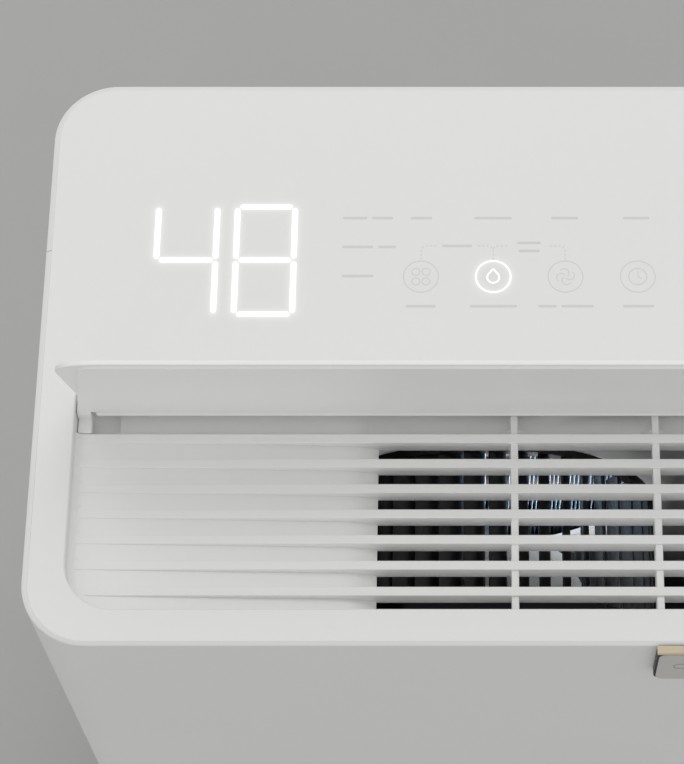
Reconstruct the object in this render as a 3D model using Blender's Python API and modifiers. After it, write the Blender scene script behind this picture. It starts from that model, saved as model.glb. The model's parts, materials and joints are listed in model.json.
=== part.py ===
"""Cabinet dehumidifier on four casters, with its outlet flap open.

Metres, +Z up. The front is -Y and the casters stand on Z = 0. Each piece is one named object
in the collection "dehumidifier". Cutters live in the collection "cutters".
"""

import math

import bmesh
import bpy
from mathutils import Matrix, Vector

# Driving dimensions
WIDTH = 0.3954
DEPTH = 0.2826
HEIGHT = 0.614
CASTER_HEIGHT = 0.042
CORNER_RADIUS = 0.0295
WALL = 0.0028
RIM_SIDE = 0.0025
RIM_REAR = 0.0025
RIM_FRONT = 0.0014
RIM_DROP = 0.0014
RIM_LIP = 0.0003
GAP = 0.0003
SEAM_FROM_FRONT = 0.193
PANEL_THICKNESS = 0.003

# Air outlet in the top: places are measured back from the front face and down from the top
OUTLET_HALF_WIDTH = 0.179
OUTLET_FRONT = 0.0168
OUTLET_REAR = 0.1240
OUTLET_CORNER = 0.022
SKIRT_DEPTH = 0.012
SKIRT_WALL = 0.0022
FIN_COUNT = 7
FIN_PITCH = 0.0123
FIN_THICKNESS = 0.0043
REAR_FIN_CENTRE = 0.10225
FIN_TOP_DROP = 0.010
FIN_HEIGHT = 0.0095
LAP_DROP = 0.0045
SLOT_LEFT = -0.0415
SLOT_RIGHT = 0.166
RAMP_LENGTH = 0.0165
RIB_FIRST = 0.0206
RIB_PITCH = 0.0646
RIB_COUNT = 3
RIB_WIDTH = 0.0034
RIB_DROP = 0.0015

# Flap: closed it lies in the outlet recess, and it rests open by FLAP_OPEN degrees
FLAP_AXIS_FROM_FRONT = 0.1155
FLAP_AXIS_DROP = 0.0060
FLAP_OPEN = 75.0
FLAP_THICKNESS = 0.0022
FLAP_SIDE_GAP = 0.0019
FLAP_FRONT_GAP = 0.0034
FLAP_NECK = 0.1700
FLAP_SHOULDER = 0.0055
FLAP_CORNER = 0.0200
FAIRING_LENGTH = 0.088
FLAP_HUB_RADIUS = 0.0036
FLAP_PIN_RADIUS = 0.0015
PIN_CLEARANCE = 0.00025
PIVOT_INNER = 0.1722
PIVOT_OUTER = 0.1782

# Badge plate on the front edge
BADGE_LEFT = 0.0821
BADGE_WIDTH = 0.066
BADGE_HEIGHT = 0.0345
BADGE_PROUD = 0.0045

# Touch controls under the top panel: X, and places measured back from the front face
CONTROL_LEFT = -0.165
CONTROL_RIGHT = 0.135
CONTROL_FRONT = 0.145
CONTROL_REAR = 0.232
DISPLAY_LEFT = -0.155
DISPLAY_RIGHT = -0.074
DISPLAY_FRONT = 0.151
DISPLAY_REAR = 0.223
PAD_FIRST = -0.0224
PAD_PITCH = 0.0336
PAD_COUNT = 5
PAD_FROM_FRONT = 0.1796

# Fan: the wheel turns about an axis along Y
FAN_X = 0.008
FAN_Z = 0.498
FAN_RADIUS = 0.082
FAN_FRONT = 0.036
FAN_REAR = 0.110
FAN_BLADES = 44
MOTOR_RADIUS = 0.036
MOTOR_REAR = 0.066
HUB_RADIUS = 0.012
SHAFT_RADIUS = 0.004
SCROLL_START_ANGLE = 128.0
SCROLL_START_RADIUS = 0.0885
SCROLL_END_RADIUS = 0.158
SCROLL_WALL = 0.0022
SCROLL_FRONT = 0.022
SCROLL_REAR = 0.1165

# Coils, measured back from the front face
EVAPORATOR_FRONT = 0.132
EVAPORATOR_DEPTH = 0.030
CONDENSER_FRONT = 0.172
CONDENSER_DEPTH = 0.036
COIL_HALF_WIDTH = 0.135
COIL_BOTTOM = 0.300
COIL_TOP = 0.570
PIPE_RADIUS = 0.0036
DISCHARGE_RADIUS = 0.0030

# Deck, bucket and compressor
FLOOR_TOP = 0.0480
DECK_BOTTOM = 0.290
DECK_THICKNESS = 0.0030
PARTITION_FROM_FRONT = 0.149
PARTITION_THICKNESS = 0.003
TRAY_BOTTOM = DECK_BOTTOM + DECK_THICKNESS + GAP
TRAY_TOP = 0.3160
SPOUT_Y = -0.0060
BUCKET_HALF_WIDTH = 0.158
BUCKET_BOTTOM = 0.056
BUCKET_TOP = 0.262
BUCKET_DEPTH = 0.1465
BUCKET_WALL = 0.0024
BUCKET_COVER_HALF_WIDTH = 0.164
BUCKET_COVER_BOTTOM = 0.0523
BUCKET_COVER_TOP = 0.284
FLOAT_X = 0.100
FLOAT_PIVOT_Z = 0.232
COMPRESSOR_X = 0.088
COMPRESSOR_Y = 0.076
COMPRESSOR_RADIUS = 0.052
COMPRESSOR_TOP = 0.262

# Rear intake, drain spigot and mains inlet
FILTER_HALF_WIDTH = 0.138
FILTER_BOTTOM = 0.325
FILTER_TOP = 0.575
INTAKE_SLOTS = 9
DRAIN_X = -0.150
DRAIN_Z = 0.270
DRAIN_RADIUS = 0.0105
CORD_X = 0.152
CORD_Z = 0.086
CORD_RADIUS = 0.0090

# Grip pockets in the side walls
GRIP_Y = -0.008
GRIP_HALF_LENGTH = 0.048
GRIP_BOTTOM = 0.490
GRIP_TOP = 0.530
GRIP_DEPTH = 0.0225

# Casters
CASTER_X = 0.150
CASTER_Y = 0.098
WHEEL_RADIUS = 0.0155
WHEEL_WIDTH = 0.0130
CASTER_TRAIL = 0.009
CASTER_NAMES = ("front_left", "front_right", "rear_left", "rear_right")

FRONT = -DEPTH / 2
REAR = DEPTH / 2
MATERIALS = {}


# ---------------------------------------------------------------- scene and materials


def clear_scene():
    for obj in list(bpy.data.objects):
        bpy.data.objects.remove(obj, do_unlink=True)
    for collection in list(bpy.data.collections):
        bpy.data.collections.remove(collection)


def collection_named(name, helper=False):
    made = bpy.data.collections.new(name)
    made.hide_render = helper
    bpy.context.scene.collection.children.link(made)
    return made


def material(name, colour, roughness=0.5, metallic=0.0):
    if name not in MATERIALS:
        made = bpy.data.materials.new(name)
        made.use_nodes = True
        made.diffuse_color = (*colour, 1.0)
        shader = made.node_tree.nodes["Principled BSDF"]
        shader.inputs["Base Color"].default_value = (*colour, 1.0)
        shader.inputs["Roughness"].default_value = roughness
        shader.inputs["Metallic"].default_value = metallic
        MATERIALS[name] = made
    return MATERIALS[name]


def white_plastic():
    return material("white_plastic", (0.74, 0.74, 0.73), 0.42)


def grey_plastic():
    return material("grey_plastic", (0.36, 0.37, 0.38), 0.5)


def dark_plastic():
    return material("dark_plastic", (0.02, 0.02, 0.022), 0.45)


def copper():
    return material("copper", (0.60, 0.27, 0.14), 0.35, 1.0)


def rubber():
    return material("rubber", (0.03, 0.03, 0.03), 0.8)


def steel():
    return material("steel", (0.55, 0.56, 0.57), 0.35, 1.0)


def black_paint():
    return material("black_paint", (0.015, 0.015, 0.017), 0.4)


# ---------------------------------------------------------------- shape helpers


def add_object(name, mesh, coat=None, cutter=False):
    obj = bpy.data.objects.new(name, mesh)
    if cutter:
        CUTTERS.objects.link(obj)
        obj.hide_render = True
        obj.display_type = "WIRE"
    else:
        PARTS.objects.link(obj)
        mesh.materials.clear()
        mesh.materials.append(coat)
    return obj


def box_mesh(name, low, high):
    low = Vector(low)
    high = Vector(high)
    size = high - low
    shape = bmesh.new()
    bmesh.ops.create_cube(shape, size=1.0, matrix=Matrix.Diagonal((*size, 1.0)))
    bmesh.ops.translate(shape, verts=shape.verts, vec=(low + high) / 2)
    mesh = bpy.data.meshes.new(name)
    shape.to_mesh(mesh)
    shape.free()
    return mesh


def box(name, low, high, coat=None, cutter=False):
    return add_object(name, box_mesh(name, low, high), coat, cutter)


AXIS_TURN = {
    "X": Matrix.Rotation(math.radians(90), 4, "Y"),
    "Y": Matrix.Rotation(math.radians(-90), 4, "X"),
    "Z": Matrix.Identity(4),
}


def cylinder(name, centre, radius, length, axis, coat=None, sides=24, top=None, cutter=False):
    """A cylinder or, with a top radius, a cone, centred on a point and lying along an axis."""
    shape = bmesh.new()
    bmesh.ops.create_cone(
        shape,
        cap_ends=True,
        segments=sides,
        radius1=radius,
        radius2=radius if top is None else top,
        depth=length,
        matrix=Matrix.Translation(centre) @ AXIS_TURN[axis],
    )
    mesh = bpy.data.meshes.new(name)
    shape.to_mesh(mesh)
    shape.free()
    return add_object(name, mesh, coat, cutter)


def arc(centre_u, centre_v, radius, start, end, steps):
    """Points of an arc in a plane, angles in degrees."""
    points = []
    for step in range(steps + 1):
        angle = math.radians(start + (end - start) * step / steps)
        points.append((centre_u + radius * math.cos(angle), centre_v + radius * math.sin(angle)))
    return points


def rounded_rectangle(low_u, low_v, high_u, high_v, radii, steps=8):
    """Outline with corner radii given as low-left, low-right, high-right, high-left."""
    a, b, c, d = radii
    points = arc(low_u + a, low_v + a, a, 180, 270, steps)
    points += arc(high_u - b, low_v + b, b, 270, 360, steps)
    points += arc(high_u - c, high_v - c, c, 0, 90, steps)
    points += arc(low_u + d, high_v - d, d, 90, 180, steps)
    return points


def rectangle(low_u, low_v, high_u, high_v):
    return [(low_u, low_v), (high_u, low_v), (high_u, high_v), (low_u, high_v)]


PLANE_TURN = {
    "Z": Matrix.Identity(4),
    "Y": Matrix(((1, 0, 0, 0), (0, 0, -1, 0), (0, 1, 0, 0), (0, 0, 0, 1))),
    "X": Matrix(((0, 0, 1, 0), (1, 0, 0, 0), (0, 1, 0, 0), (0, 0, 0, 1))),
}


def prism(name, outlines, low, high, axis="Z", coat=None, cutter=False):
    """A flat outline, with any holes as further outlines, given thickness along an axis.

    The outline's two coordinates are X and Y for axis Z, X and Z for axis Y, and Y and Z for
    axis X. The thickness runs from low to high on the axis.
    """
    curve = bpy.data.curves.new(name, "CURVE")
    curve.dimensions = "2D"
    curve.fill_mode = "BOTH"
    curve.extrude = (high - low) / 2
    for outline in outlines:
        spline = curve.splines.new("POLY")
        spline.points.add(len(outline) - 1)
        for point, (u, v) in zip(spline.points, outline):
            point.co = (u, v, 0.0, 1.0)
        spline.use_cyclic_u = True
    mesh = mesh_of_curve(name, curve)
    middle = (low + high) / 2
    shift = {"Z": (0, 0, middle), "Y": (0, middle, 0), "X": (middle, 0, 0)}[axis]
    mesh.transform(Matrix.Translation(shift) @ PLANE_TURN[axis])
    return add_object(name, mesh, coat, cutter)


def mesh_of_curve(name, curve):
    holder = bpy.data.objects.new(name + "_curve", curve)
    bpy.context.scene.collection.objects.link(holder)
    bpy.context.view_layer.update()
    graph = bpy.context.evaluated_depsgraph_get()
    mesh = bpy.data.meshes.new_from_object(holder.evaluated_get(graph))
    mesh.name = name
    bpy.data.objects.remove(holder, do_unlink=True)
    shape = bmesh.new()
    shape.from_mesh(mesh)
    bmesh.ops.remove_doubles(shape, verts=shape.verts, dist=1e-6)
    bmesh.ops.recalc_face_normals(shape, faces=shape.faces)
    shape.to_mesh(mesh)
    shape.free()
    return mesh


def tube(name, route, radius, coat=None, cutter=False):
    """A round pipe along a route of points."""
    curve = bpy.data.curves.new(name, "CURVE")
    curve.dimensions = "3D"
    curve.bevel_depth = radius
    curve.bevel_resolution = 2
    curve.use_fill_caps = True
    spline = curve.splines.new("POLY")
    spline.points.add(len(route) - 1)
    for point, place in zip(spline.points, route):
        point.co = (*place, 1.0)
    return add_object(name, mesh_of_curve(name, curve), coat, cutter)


def bent_route(corners, radius, steps=2):
    """Points along straight runs whose corners are rounded."""
    corners = [Vector(corner) for corner in corners]
    route = [corners[0]]
    for before, corner, after in zip(corners, corners[1:], corners[2:]):
        inward = (before - corner).normalized() * radius
        outward = (after - corner).normalized() * radius
        for step in range(steps + 1):
            t = step / steps
            route.append(corner + inward * (1 - t) ** 2 + outward * t**2)
    route.append(corners[-1])
    return route


def turned(name, profile, place, axis, coat=None, steps=32, cutter=False):
    """A profile of (radius, height) points, from the top down, turned about an axis."""
    mesh = bpy.data.meshes.new(name)
    edges = [(i, i + 1) for i in range(len(profile) - 1)]
    mesh.from_pydata([(radius, 0.0, height) for radius, height in profile], edges, [])
    holder = bpy.data.objects.new(name + "_profile", mesh)
    bpy.context.scene.collection.objects.link(holder)
    screw = holder.modifiers.new("turn", "SCREW")
    screw.steps = steps
    screw.render_steps = steps
    screw.use_merge_vertices = True
    screw.merge_threshold = 0.00005
    bpy.context.view_layer.update()
    graph = bpy.context.evaluated_depsgraph_get()
    solid = bpy.data.meshes.new_from_object(holder.evaluated_get(graph))
    bpy.data.objects.remove(holder, do_unlink=True)
    shape = bmesh.new()
    shape.from_mesh(solid)
    bmesh.ops.remove_doubles(shape, verts=shape.verts, dist=1e-6)
    bmesh.ops.recalc_face_normals(shape, faces=shape.faces)
    shape.to_mesh(solid)
    shape.free()
    solid.transform(Matrix.Translation(place) @ AXIS_TURN[axis])
    return add_object(name, solid, coat, cutter)


def combine(obj, others, operation):
    """Boolean the others into an object, in order, and keep them as hidden helpers."""
    for other in others:
        if other.name not in CUTTERS.objects:
            PARTS.objects.unlink(other)
            CUTTERS.objects.link(other)
            other.hide_render = True
            other.display_type = "WIRE"
        change = obj.modifiers.new(other.name, "BOOLEAN")
        change.operation = operation
        change.solver = "EXACT"
        change.object = other
    return obj


def cut(obj, *cutters):
    return combine(obj, cutters, "DIFFERENCE")


def join(obj, *pieces):
    return combine(obj, pieces, "UNION")


def bevel(obj, width, segments=2, angle=40.0):
    edge = obj.modifiers.new("edges", "BEVEL")
    edge.width = width
    edge.segments = segments
    edge.limit_method = "ANGLE"
    edge.angle_limit = math.radians(angle)


def smooth(obj, angle=35.0):
    obj.data.shade_smooth()
    obj.data.set_sharp_from_angle(angle=math.radians(angle))


def set_origin(obj, place):
    """Move the object's origin to a point without moving its shape."""
    obj.data.transform(Matrix.Translation(-Vector(place)))
    obj.location = place


def helper(name):
    return "cut_" + name


# ---------------------------------------------------------------- casings and top


def body_outline(inset):
    half_width = WIDTH / 2 - inset
    half_depth = DEPTH / 2 - inset
    radius = CORNER_RADIUS - inset
    return rounded_rectangle(-half_width, -half_depth, half_width, half_depth, [radius] * 4, 8)


def rim_outline(inset):
    """Edge of the flat top inside its sloping rim, which is narrower at the front."""
    half_width = WIDTH / 2 - RIM_SIDE - inset
    radius = CORNER_RADIUS - RIM_SIDE - inset
    low_y = FRONT + RIM_FRONT + inset
    high_y = REAR - RIM_REAR - inset
    return rounded_rectangle(-half_width, low_y, half_width, high_y, [radius] * 4, 8)


def bevel_rim(mesh, height, width, segments):
    """Bevel the edges round a flat face that lies at one height."""
    shape = bmesh.new()
    shape.from_mesh(mesh)
    bmesh.ops.dissolve_limit(
        shape, angle_limit=math.radians(1), verts=shape.verts, edges=shape.edges
    )
    rim = [
        edge
        for edge in shape.edges
        if all(abs(vert.co.z - height) < 1e-5 for vert in edge.verts)
    ]
    bmesh.ops.bevel(
        shape,
        geom=rim,
        offset=width,
        offset_type="OFFSET",
        segments=segments,
        profile=0.5,
        affect="EDGES",
    )
    shape.to_mesh(mesh)
    shape.free()


def slope_rim(mesh):
    """Pull the top edge of a casing in, so that a sloping rim runs round the flat top."""
    shape = bmesh.new()
    shape.from_mesh(mesh)
    bmesh.ops.dissolve_limit(
        shape, angle_limit=math.radians(1), verts=shape.verts, edges=shape.edges
    )
    moved = dict(zip(((round(x, 6), round(y, 6)) for x, y in body_outline(0.0)), rim_outline(0.0)))
    roof = [face for face in shape.faces if face.normal.z > 0.9]
    raised = bmesh.ops.extrude_face_region(shape, geom=roof)
    bmesh.ops.delete(shape, geom=roof, context="FACES_ONLY")
    for item in raised["geom"]:
        if isinstance(item, bmesh.types.BMVert):
            x, y = moved[(round(item.co.x, 6), round(item.co.y, 6))]
            item.co = (x, y, HEIGHT)
    shape.to_mesh(mesh)
    shape.free()


def casing(name):
    shell = prism(name, [body_outline(0.0)], CASTER_HEIGHT, HEIGHT - RIM_DROP, coat=white_plastic())
    slope_rim(shell.data)
    hollow = prism(
        helper(name + "_hollow"),
        [rim_outline(RIM_LIP)],
        CASTER_HEIGHT - 0.01,
        HEIGHT + 0.01,
        cutter=True,
    )
    cut(shell, hollow)
    return shell


def side_cutter(name, low_y, high_y):
    reach = WIDTH
    return box(helper(name), (-reach, low_y, -0.1), (reach, high_y, HEIGHT + 0.1), cutter=True)


def grip_opening(name, side, margin):
    """Rounded opening in a side wall, as an outline of Y and Z extruded along X."""
    low, high = sorted((side * (WIDTH / 2 - 0.01), side * (WIDTH / 2 + 0.01)))
    outline = rounded_rectangle(
        GRIP_Y - GRIP_HALF_LENGTH - margin,
        GRIP_BOTTOM - margin,
        GRIP_Y + GRIP_HALF_LENGTH + margin,
        GRIP_TOP + margin,
        [0.012 + margin] * 4,
        4,
    )
    return prism(helper(name), [outline], low, high, "X", cutter=True)


def make_front_casing():
    shell = casing("front_casing")
    seam = FRONT + SEAM_FROM_FRONT
    bucket_mouth = box(
        helper("bucket_mouth"),
        (-BUCKET_COVER_HALF_WIDTH - GAP, FRONT - 0.01, BUCKET_COVER_BOTTOM - GAP),
        (BUCKET_COVER_HALF_WIDTH + GAP, FRONT + 0.01, BUCKET_COVER_TOP + GAP),
        cutter=True,
    )
    cut(shell, side_cutter("behind_seam", seam, 0.3), bucket_mouth)
    for side in (-1, 1):
        cut(shell, grip_opening(f"grip_opening_{side}", side, GAP))
    smooth(shell)


def make_rear_casing():
    shell = casing("rear_casing")
    seam = FRONT + SEAM_FROM_FRONT + GAP
    intake = box(
        helper("intake_opening"),
        (-FILTER_HALF_WIDTH - GAP, REAR - 0.01, FILTER_BOTTOM - GAP),
        (FILTER_HALF_WIDTH + GAP, REAR + 0.01, FILTER_TOP + GAP),
        cutter=True,
    )
    drain_hole = cylinder(
        helper("drain_hole"), (DRAIN_X, REAR, DRAIN_Z), DRAIN_RADIUS + GAP, 0.02, "Y", cutter=True
    )
    cord_hole = cylinder(
        helper("cord_hole"), (CORD_X, REAR, CORD_Z), CORD_RADIUS + GAP, 0.02, "Y", cutter=True
    )
    cut(shell, side_cutter("before_seam", -0.3, seam), intake, drain_hole, cord_hole)
    smooth(shell)


def outlet_outline(inset):
    corner = OUTLET_CORNER - inset
    rear_corner = 0.006 - min(inset, 0.004)
    return rounded_rectangle(
        -OUTLET_HALF_WIDTH + inset,
        FRONT + OUTLET_FRONT + inset,
        OUTLET_HALF_WIDTH - inset,
        FRONT + OUTLET_REAR - inset,
        (corner, corner, rear_corner, rear_corner),
        8,
    )


def make_top_panel():
    panel = prism(
        "top_panel",
        [rim_outline(RIM_LIP + 0.00025), outlet_outline(0.0)],
        HEIGHT - PANEL_THICKNESS,
        HEIGHT,
        coat=white_plastic(),
    )
    skirt = prism(
        helper("outlet_skirt"),
        [outlet_outline(-SKIRT_WALL), outlet_outline(0.0)],
        HEIGHT - SKIRT_DEPTH,
        HEIGHT - PANEL_THICKNESS / 2,
        cutter=True,
    )
    join(panel, skirt)
    smooth(panel)


def fin_centre(index):
    return FRONT + REAR_FIN_CENTRE - index * FIN_PITCH


def lap_strip(name, rear, front, level_drop, rear_drop, left):
    """Solid floor between two fins, left of the slots.

    It lies level_drop below the fin tops. Its rear edge falls away to the right by rear_drop,
    and near the slots the whole strip ramps down to the bottom of the fins.
    """
    top = HEIGHT - FIN_TOP_DROP
    base = top - FIN_HEIGHT
    ramp_start = SLOT_LEFT - RAMP_LENGTH
    stations = [left + (ramp_start - left) * step / 2 for step in range(3)]
    stations += [ramp_start + RAMP_LENGTH * step / 5 for step in range(1, 6)]
    shape = bmesh.new()
    bmesh.ops.create_grid(shape, x_segments=len(stations) - 1, y_segments=1, size=0.5)
    columns = sorted({round(vert.co.x, 5) for vert in shape.verts})
    for vert in shape.verts:
        x = stations[columns.index(round(vert.co.x, 5))]
        at_rear = vert.co.y > 0
        share = min(1.0, (x - left) / (ramp_start - left))
        height = top - level_drop - (rear_drop * share if at_rear else 0.0)
        if x > ramp_start:
            along = (x - ramp_start) / RAMP_LENGTH
            fall = 1 - math.cos(along * math.pi / 2)
            height += (base + 0.0008 - height) * fall
        vert.co = (x, rear if at_rear else front, height)
    extruded = bmesh.ops.extrude_face_region(shape, geom=shape.faces[:])
    for item in extruded["geom"]:
        if isinstance(item, bmesh.types.BMVert):
            item.co.z = base - 0.001
    bmesh.ops.triangulate(shape, faces=shape.faces)
    bmesh.ops.recalc_face_normals(shape, faces=shape.faces)
    mesh = bpy.data.meshes.new(name)
    shape.to_mesh(mesh)
    shape.free()
    return add_object(name, mesh, cutter=True)


def wall_fillet(side):
    """Concave fillet where the floor meets the end wall of the outlet."""
    top = HEIGHT - FIN_TOP_DROP
    radius = 0.0040
    bottom = top - 0.0005
    ring = prism(
        f"wall_fillet_{side}", [outlet_outline(GAP - 0.001)], bottom + 0.0001, top + 0.0030,
        cutter=True,
    )
    pillow = prism(helper(f"pillow_{side}"), [outlet_outline(GAP)], bottom, top + 0.02, cutter=True)
    bevel_rim(pillow.data, bottom, radius, 4)
    low, high = sorted((side * 0.150, side * -0.5))
    middle = box(helper(f"fillet_middle_{side}"), (low, -1, 0), (high, 1, 1), cutter=True)
    behind = box(
        helper(f"fillet_behind_{side}"), (-1, fin_centre(0) + FIN_THICKNESS / 2 - 0.0003, 0),
        (1, 1, 1), cutter=True,
    )
    return cut(ring, pillow, middle, behind)


def make_outlet_grille():
    """Fins across the outlet on lower ribs, with a lapped solid floor at the left."""
    top = HEIGHT - FIN_TOP_DROP
    base = top - FIN_HEIGHT
    reach = OUTLET_HALF_WIDTH - GAP
    front_wall = FRONT + OUTLET_FRONT + 0.0004
    rear_wall = FRONT + OUTLET_REAR - 0.0004
    trench_front = fin_centre(0) + FIN_THICKNESS / 2 - 0.001
    grille = prism(
        "outlet_grille",
        [outlet_outline(-SKIRT_WALL - 0.004), outlet_outline(0.0018)],
        base - 0.0012,
        HEIGHT - SKIRT_DEPTH - GAP,
        coat=white_plastic(),
    )
    pieces = []
    for index in range(FIN_COUNT):
        middle = fin_centre(index)
        low = (-reach - 0.003, middle - FIN_THICKNESS / 2, base)
        high = (reach + 0.003, middle + FIN_THICKNESS / 2, top)
        pieces.append(box(f"fin_{index}", low, high, cutter=True))
    for index in range(FIN_COUNT):
        rear = fin_centre(index) - FIN_THICKNESS / 2 + 0.0005
        front = fin_centre(index + 1) + FIN_THICKNESS / 2 - 0.0002
        if index == FIN_COUNT - 1:
            front = front_wall
        pieces.append(
            lap_strip(f"lap_{index}", rear, front, 0.0001, LAP_DROP, -OUTLET_HALF_WIDTH - 0.002)
        )
    right_floor = box(
        "right_floor",
        (SLOT_RIGHT, front_wall, base - 0.001),
        (reach, trench_front + 0.001, top - 0.0001),
        cutter=True,
    )
    trench = box(
        "trench_floor", (-reach, trench_front, base - 0.001), (reach, rear_wall, base + 0.0008),
        cutter=True,
    )
    trench_shelf = lap_strip("trench_shelf", rear_wall + 0.001, trench_front, 0.0050, 0.0, -0.1600)
    pieces += [right_floor, trench, trench_shelf]
    for index in range(RIB_COUNT):
        middle = RIB_FIRST + index * RIB_PITCH
        low = (middle - RIB_WIDTH / 2, front_wall, base + 0.0004)
        high = (middle + RIB_WIDTH / 2, rear_wall, top - RIB_DROP)
        pieces.append(box(f"rib_{index}", low, high, cutter=True))
        gusset = [
            (middle - 0.0090, base + 0.0005),
            (middle + 0.0090, base + 0.0005),
            (middle, top - RIB_DROP - 0.0002),
        ]
        pieces.append(
            prism(f"gusset_{index}", [gusset], trench_front, trench_front + 0.0045, "Y", cutter=True)
        )
    insert = pieces[0]
    join(insert, *pieces[1:])
    inside = prism(
        helper("grille_inside"), [outlet_outline(GAP)], base - 0.01, top + 0.02, cutter=True
    )
    join(insert, wall_fillet(-1), wall_fillet(1))
    combine(insert, [inside], "INTERSECT")
    join(grille, insert)
    axis_y = FRONT + FLAP_AXIS_FROM_FRONT
    axis_z = HEIGHT - FLAP_AXIS_DROP
    for side, side_name in ((-1, "left"), (1, "right")):
        low, high = sorted((side * PIVOT_INNER, side * PIVOT_OUTER))
        foot = box(
            f"pivot_foot_{side_name}",
            (low, trench_front + 0.0012, base),
            (high, axis_y + 0.0045, top + 0.0005),
            cutter=True,
        )
        ear = box(
            f"pivot_ear_{side_name}",
            (low + 0.0001, axis_y - 0.0040, base),
            (high - 0.0001, axis_y + 0.0040, axis_z + 0.0030),
            cutter=True,
        )
        bore = cylinder(
            helper(f"pivot_bore_{side_name}"),
            (side * (PIVOT_INNER + 0.0012), axis_y, axis_z),
            FLAP_PIN_RADIUS + PIN_CLEARANCE,
            0.008,
            "X",
            sides=20,
            cutter=True,
        )
        join(grille, foot, ear)
        cut(grille, bore)
    smooth(grille)


def make_outlet_flap():
    """The flap is drawn closed, flush with the top, then turned open about its pins."""
    axis_y = FRONT + FLAP_AXIS_FROM_FRONT
    axis_z = HEIGHT - FLAP_AXIS_DROP
    half = OUTLET_HALF_WIDTH - FLAP_SIDE_GAP
    corner = FLAP_CORNER
    front = FRONT + OUTLET_FRONT + FLAP_FRONT_GAP
    shoulder = axis_y - FLAP_SHOULDER
    neck = FLAP_NECK
    face = HEIGHT - 0.0002
    underside = face - FLAP_THICKNESS
    outline = arc(-half + corner, front + corner, corner, 180, 270, 8)
    outline += arc(half - corner, front + corner, corner, 270, 360, 8)
    outline += [(half, shoulder), (neck, shoulder), (neck, axis_y + 0.002)]
    outline += [(-neck, axis_y + 0.002), (-neck, shoulder), (-half, shoulder)]
    flap = prism("outlet_flap", [outline], underside, face, coat=white_plastic())
    hub = cylinder("flap_hub", (0, axis_y, axis_z), FLAP_HUB_RADIUS, 2 * neck, "X", cutter=True)
    hub_bottom = axis_z - FLAP_HUB_RADIUS + 0.00005
    fairing = prism(
        "flap_fairing",
        [
            [
                (axis_y, hub_bottom),
                (axis_y, underside + 0.001),
                (axis_y - FAIRING_LENGTH, underside + 0.001),
                (axis_y - FAIRING_LENGTH, underside - 0.00005),
            ]
        ],
        -neck + 0.0001,
        neck - 0.0001,
        "X",
        cutter=True,
    )
    pin_length = 2 * (PIVOT_OUTER - 0.001)
    pins = cylinder(
        "flap_pins", (0, axis_y, axis_z), FLAP_PIN_RADIUS, pin_length, "X", sides=20, cutter=True
    )
    join(flap, hub, fairing, pins)
    turn = Matrix.Translation((0, axis_y, axis_z))
    turn = turn @ Matrix.Rotation(math.radians(-FLAP_OPEN), 4, "X")
    for piece in (flap, hub, fairing, pins):
        piece.data.transform(Matrix.Translation((0, -axis_y, -axis_z)))
        piece.matrix_world = turn
    smooth(flap)


def make_badge():
    plate = box(
        "badge",
        (BADGE_LEFT, FRONT - BADGE_PROUD, HEIGHT - BADGE_HEIGHT),
        (BADGE_LEFT + BADGE_WIDTH, FRONT - GAP, HEIGHT - 0.0002),
        material("badge_metal", (0.42, 0.37, 0.29), 0.3, 1.0),
    )
    bevel(plate, 0.0005, 1)


# ---------------------------------------------------------------- controls


def make_control_parts():
    board_top = HEIGHT - PANEL_THICKNESS - 0.0082
    board = box(
        "control_board",
        (CONTROL_LEFT, FRONT + CONTROL_FRONT, board_top - 0.0016),
        (CONTROL_RIGHT, FRONT + CONTROL_REAR, board_top),
        material("circuit_board", (0.05, 0.16, 0.09), 0.5),
    )
    for index in range(PAD_COUNT):
        spring = cylinder(
            f"touch_spring_{index}",
            (PAD_FIRST + index * PAD_PITCH, FRONT + PAD_FROM_FRONT, board_top + 0.0030),
            0.0062,
            0.0080,
            "Z",
            sides=16,
            cutter=True,
        )
        join(board, spring)
    display = box(
        "display_module",
        (DISPLAY_LEFT, FRONT + DISPLAY_FRONT, board_top + GAP),
        (DISPLAY_RIGHT, FRONT + DISPLAY_REAR, HEIGHT - PANEL_THICKNESS - GAP),
        material("display_white", (0.62, 0.62, 0.60), 0.5),
    )
    bevel(display, 0.0010, 1)
    sensor = box(
        "humidity_sensor",
        (0.152, REAR - 0.040, 0.560),
        (0.176, REAR - 0.022, 0.588),
        white_plastic(),
    )
    bevel(sensor, 0.0015, 1)


# ---------------------------------------------------------------- fan


def scroll_radius(angle):
    travelled = (angle - SCROLL_START_ANGLE) / (360.0 - SCROLL_START_ANGLE)
    return SCROLL_START_RADIUS + (SCROLL_END_RADIUS - SCROLL_START_RADIUS) * travelled


def scroll_line(offset, steps=22):
    """Spiral wall from the tongue, round under the wheel and up the right-hand side."""
    top = HEIGHT - FIN_TOP_DROP - FIN_HEIGHT - 0.0015
    points = []
    tongue = scroll_radius(SCROLL_START_ANGLE) + offset
    start = math.radians(SCROLL_START_ANGLE)
    tongue_x = FAN_X + tongue * math.cos(start)
    points.append((SLOT_LEFT - offset - 0.002, top))
    points.append((SLOT_LEFT - offset - 0.002, FAN_Z + tongue * math.sin(start) + 0.012))
    points.append((tongue_x + 0.003, FAN_Z + tongue * math.sin(start) + 0.004))
    for step in range(1, steps + 1):
        angle = SCROLL_START_ANGLE + (360.0 - SCROLL_START_ANGLE) * step / steps
        reach = scroll_radius(angle) + offset
        turn = math.radians(angle)
        points.append((FAN_X + reach * math.cos(turn), FAN_Z + reach * math.sin(turn)))
    points.append((FAN_X + SCROLL_END_RADIUS + offset, top))
    return points


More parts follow.
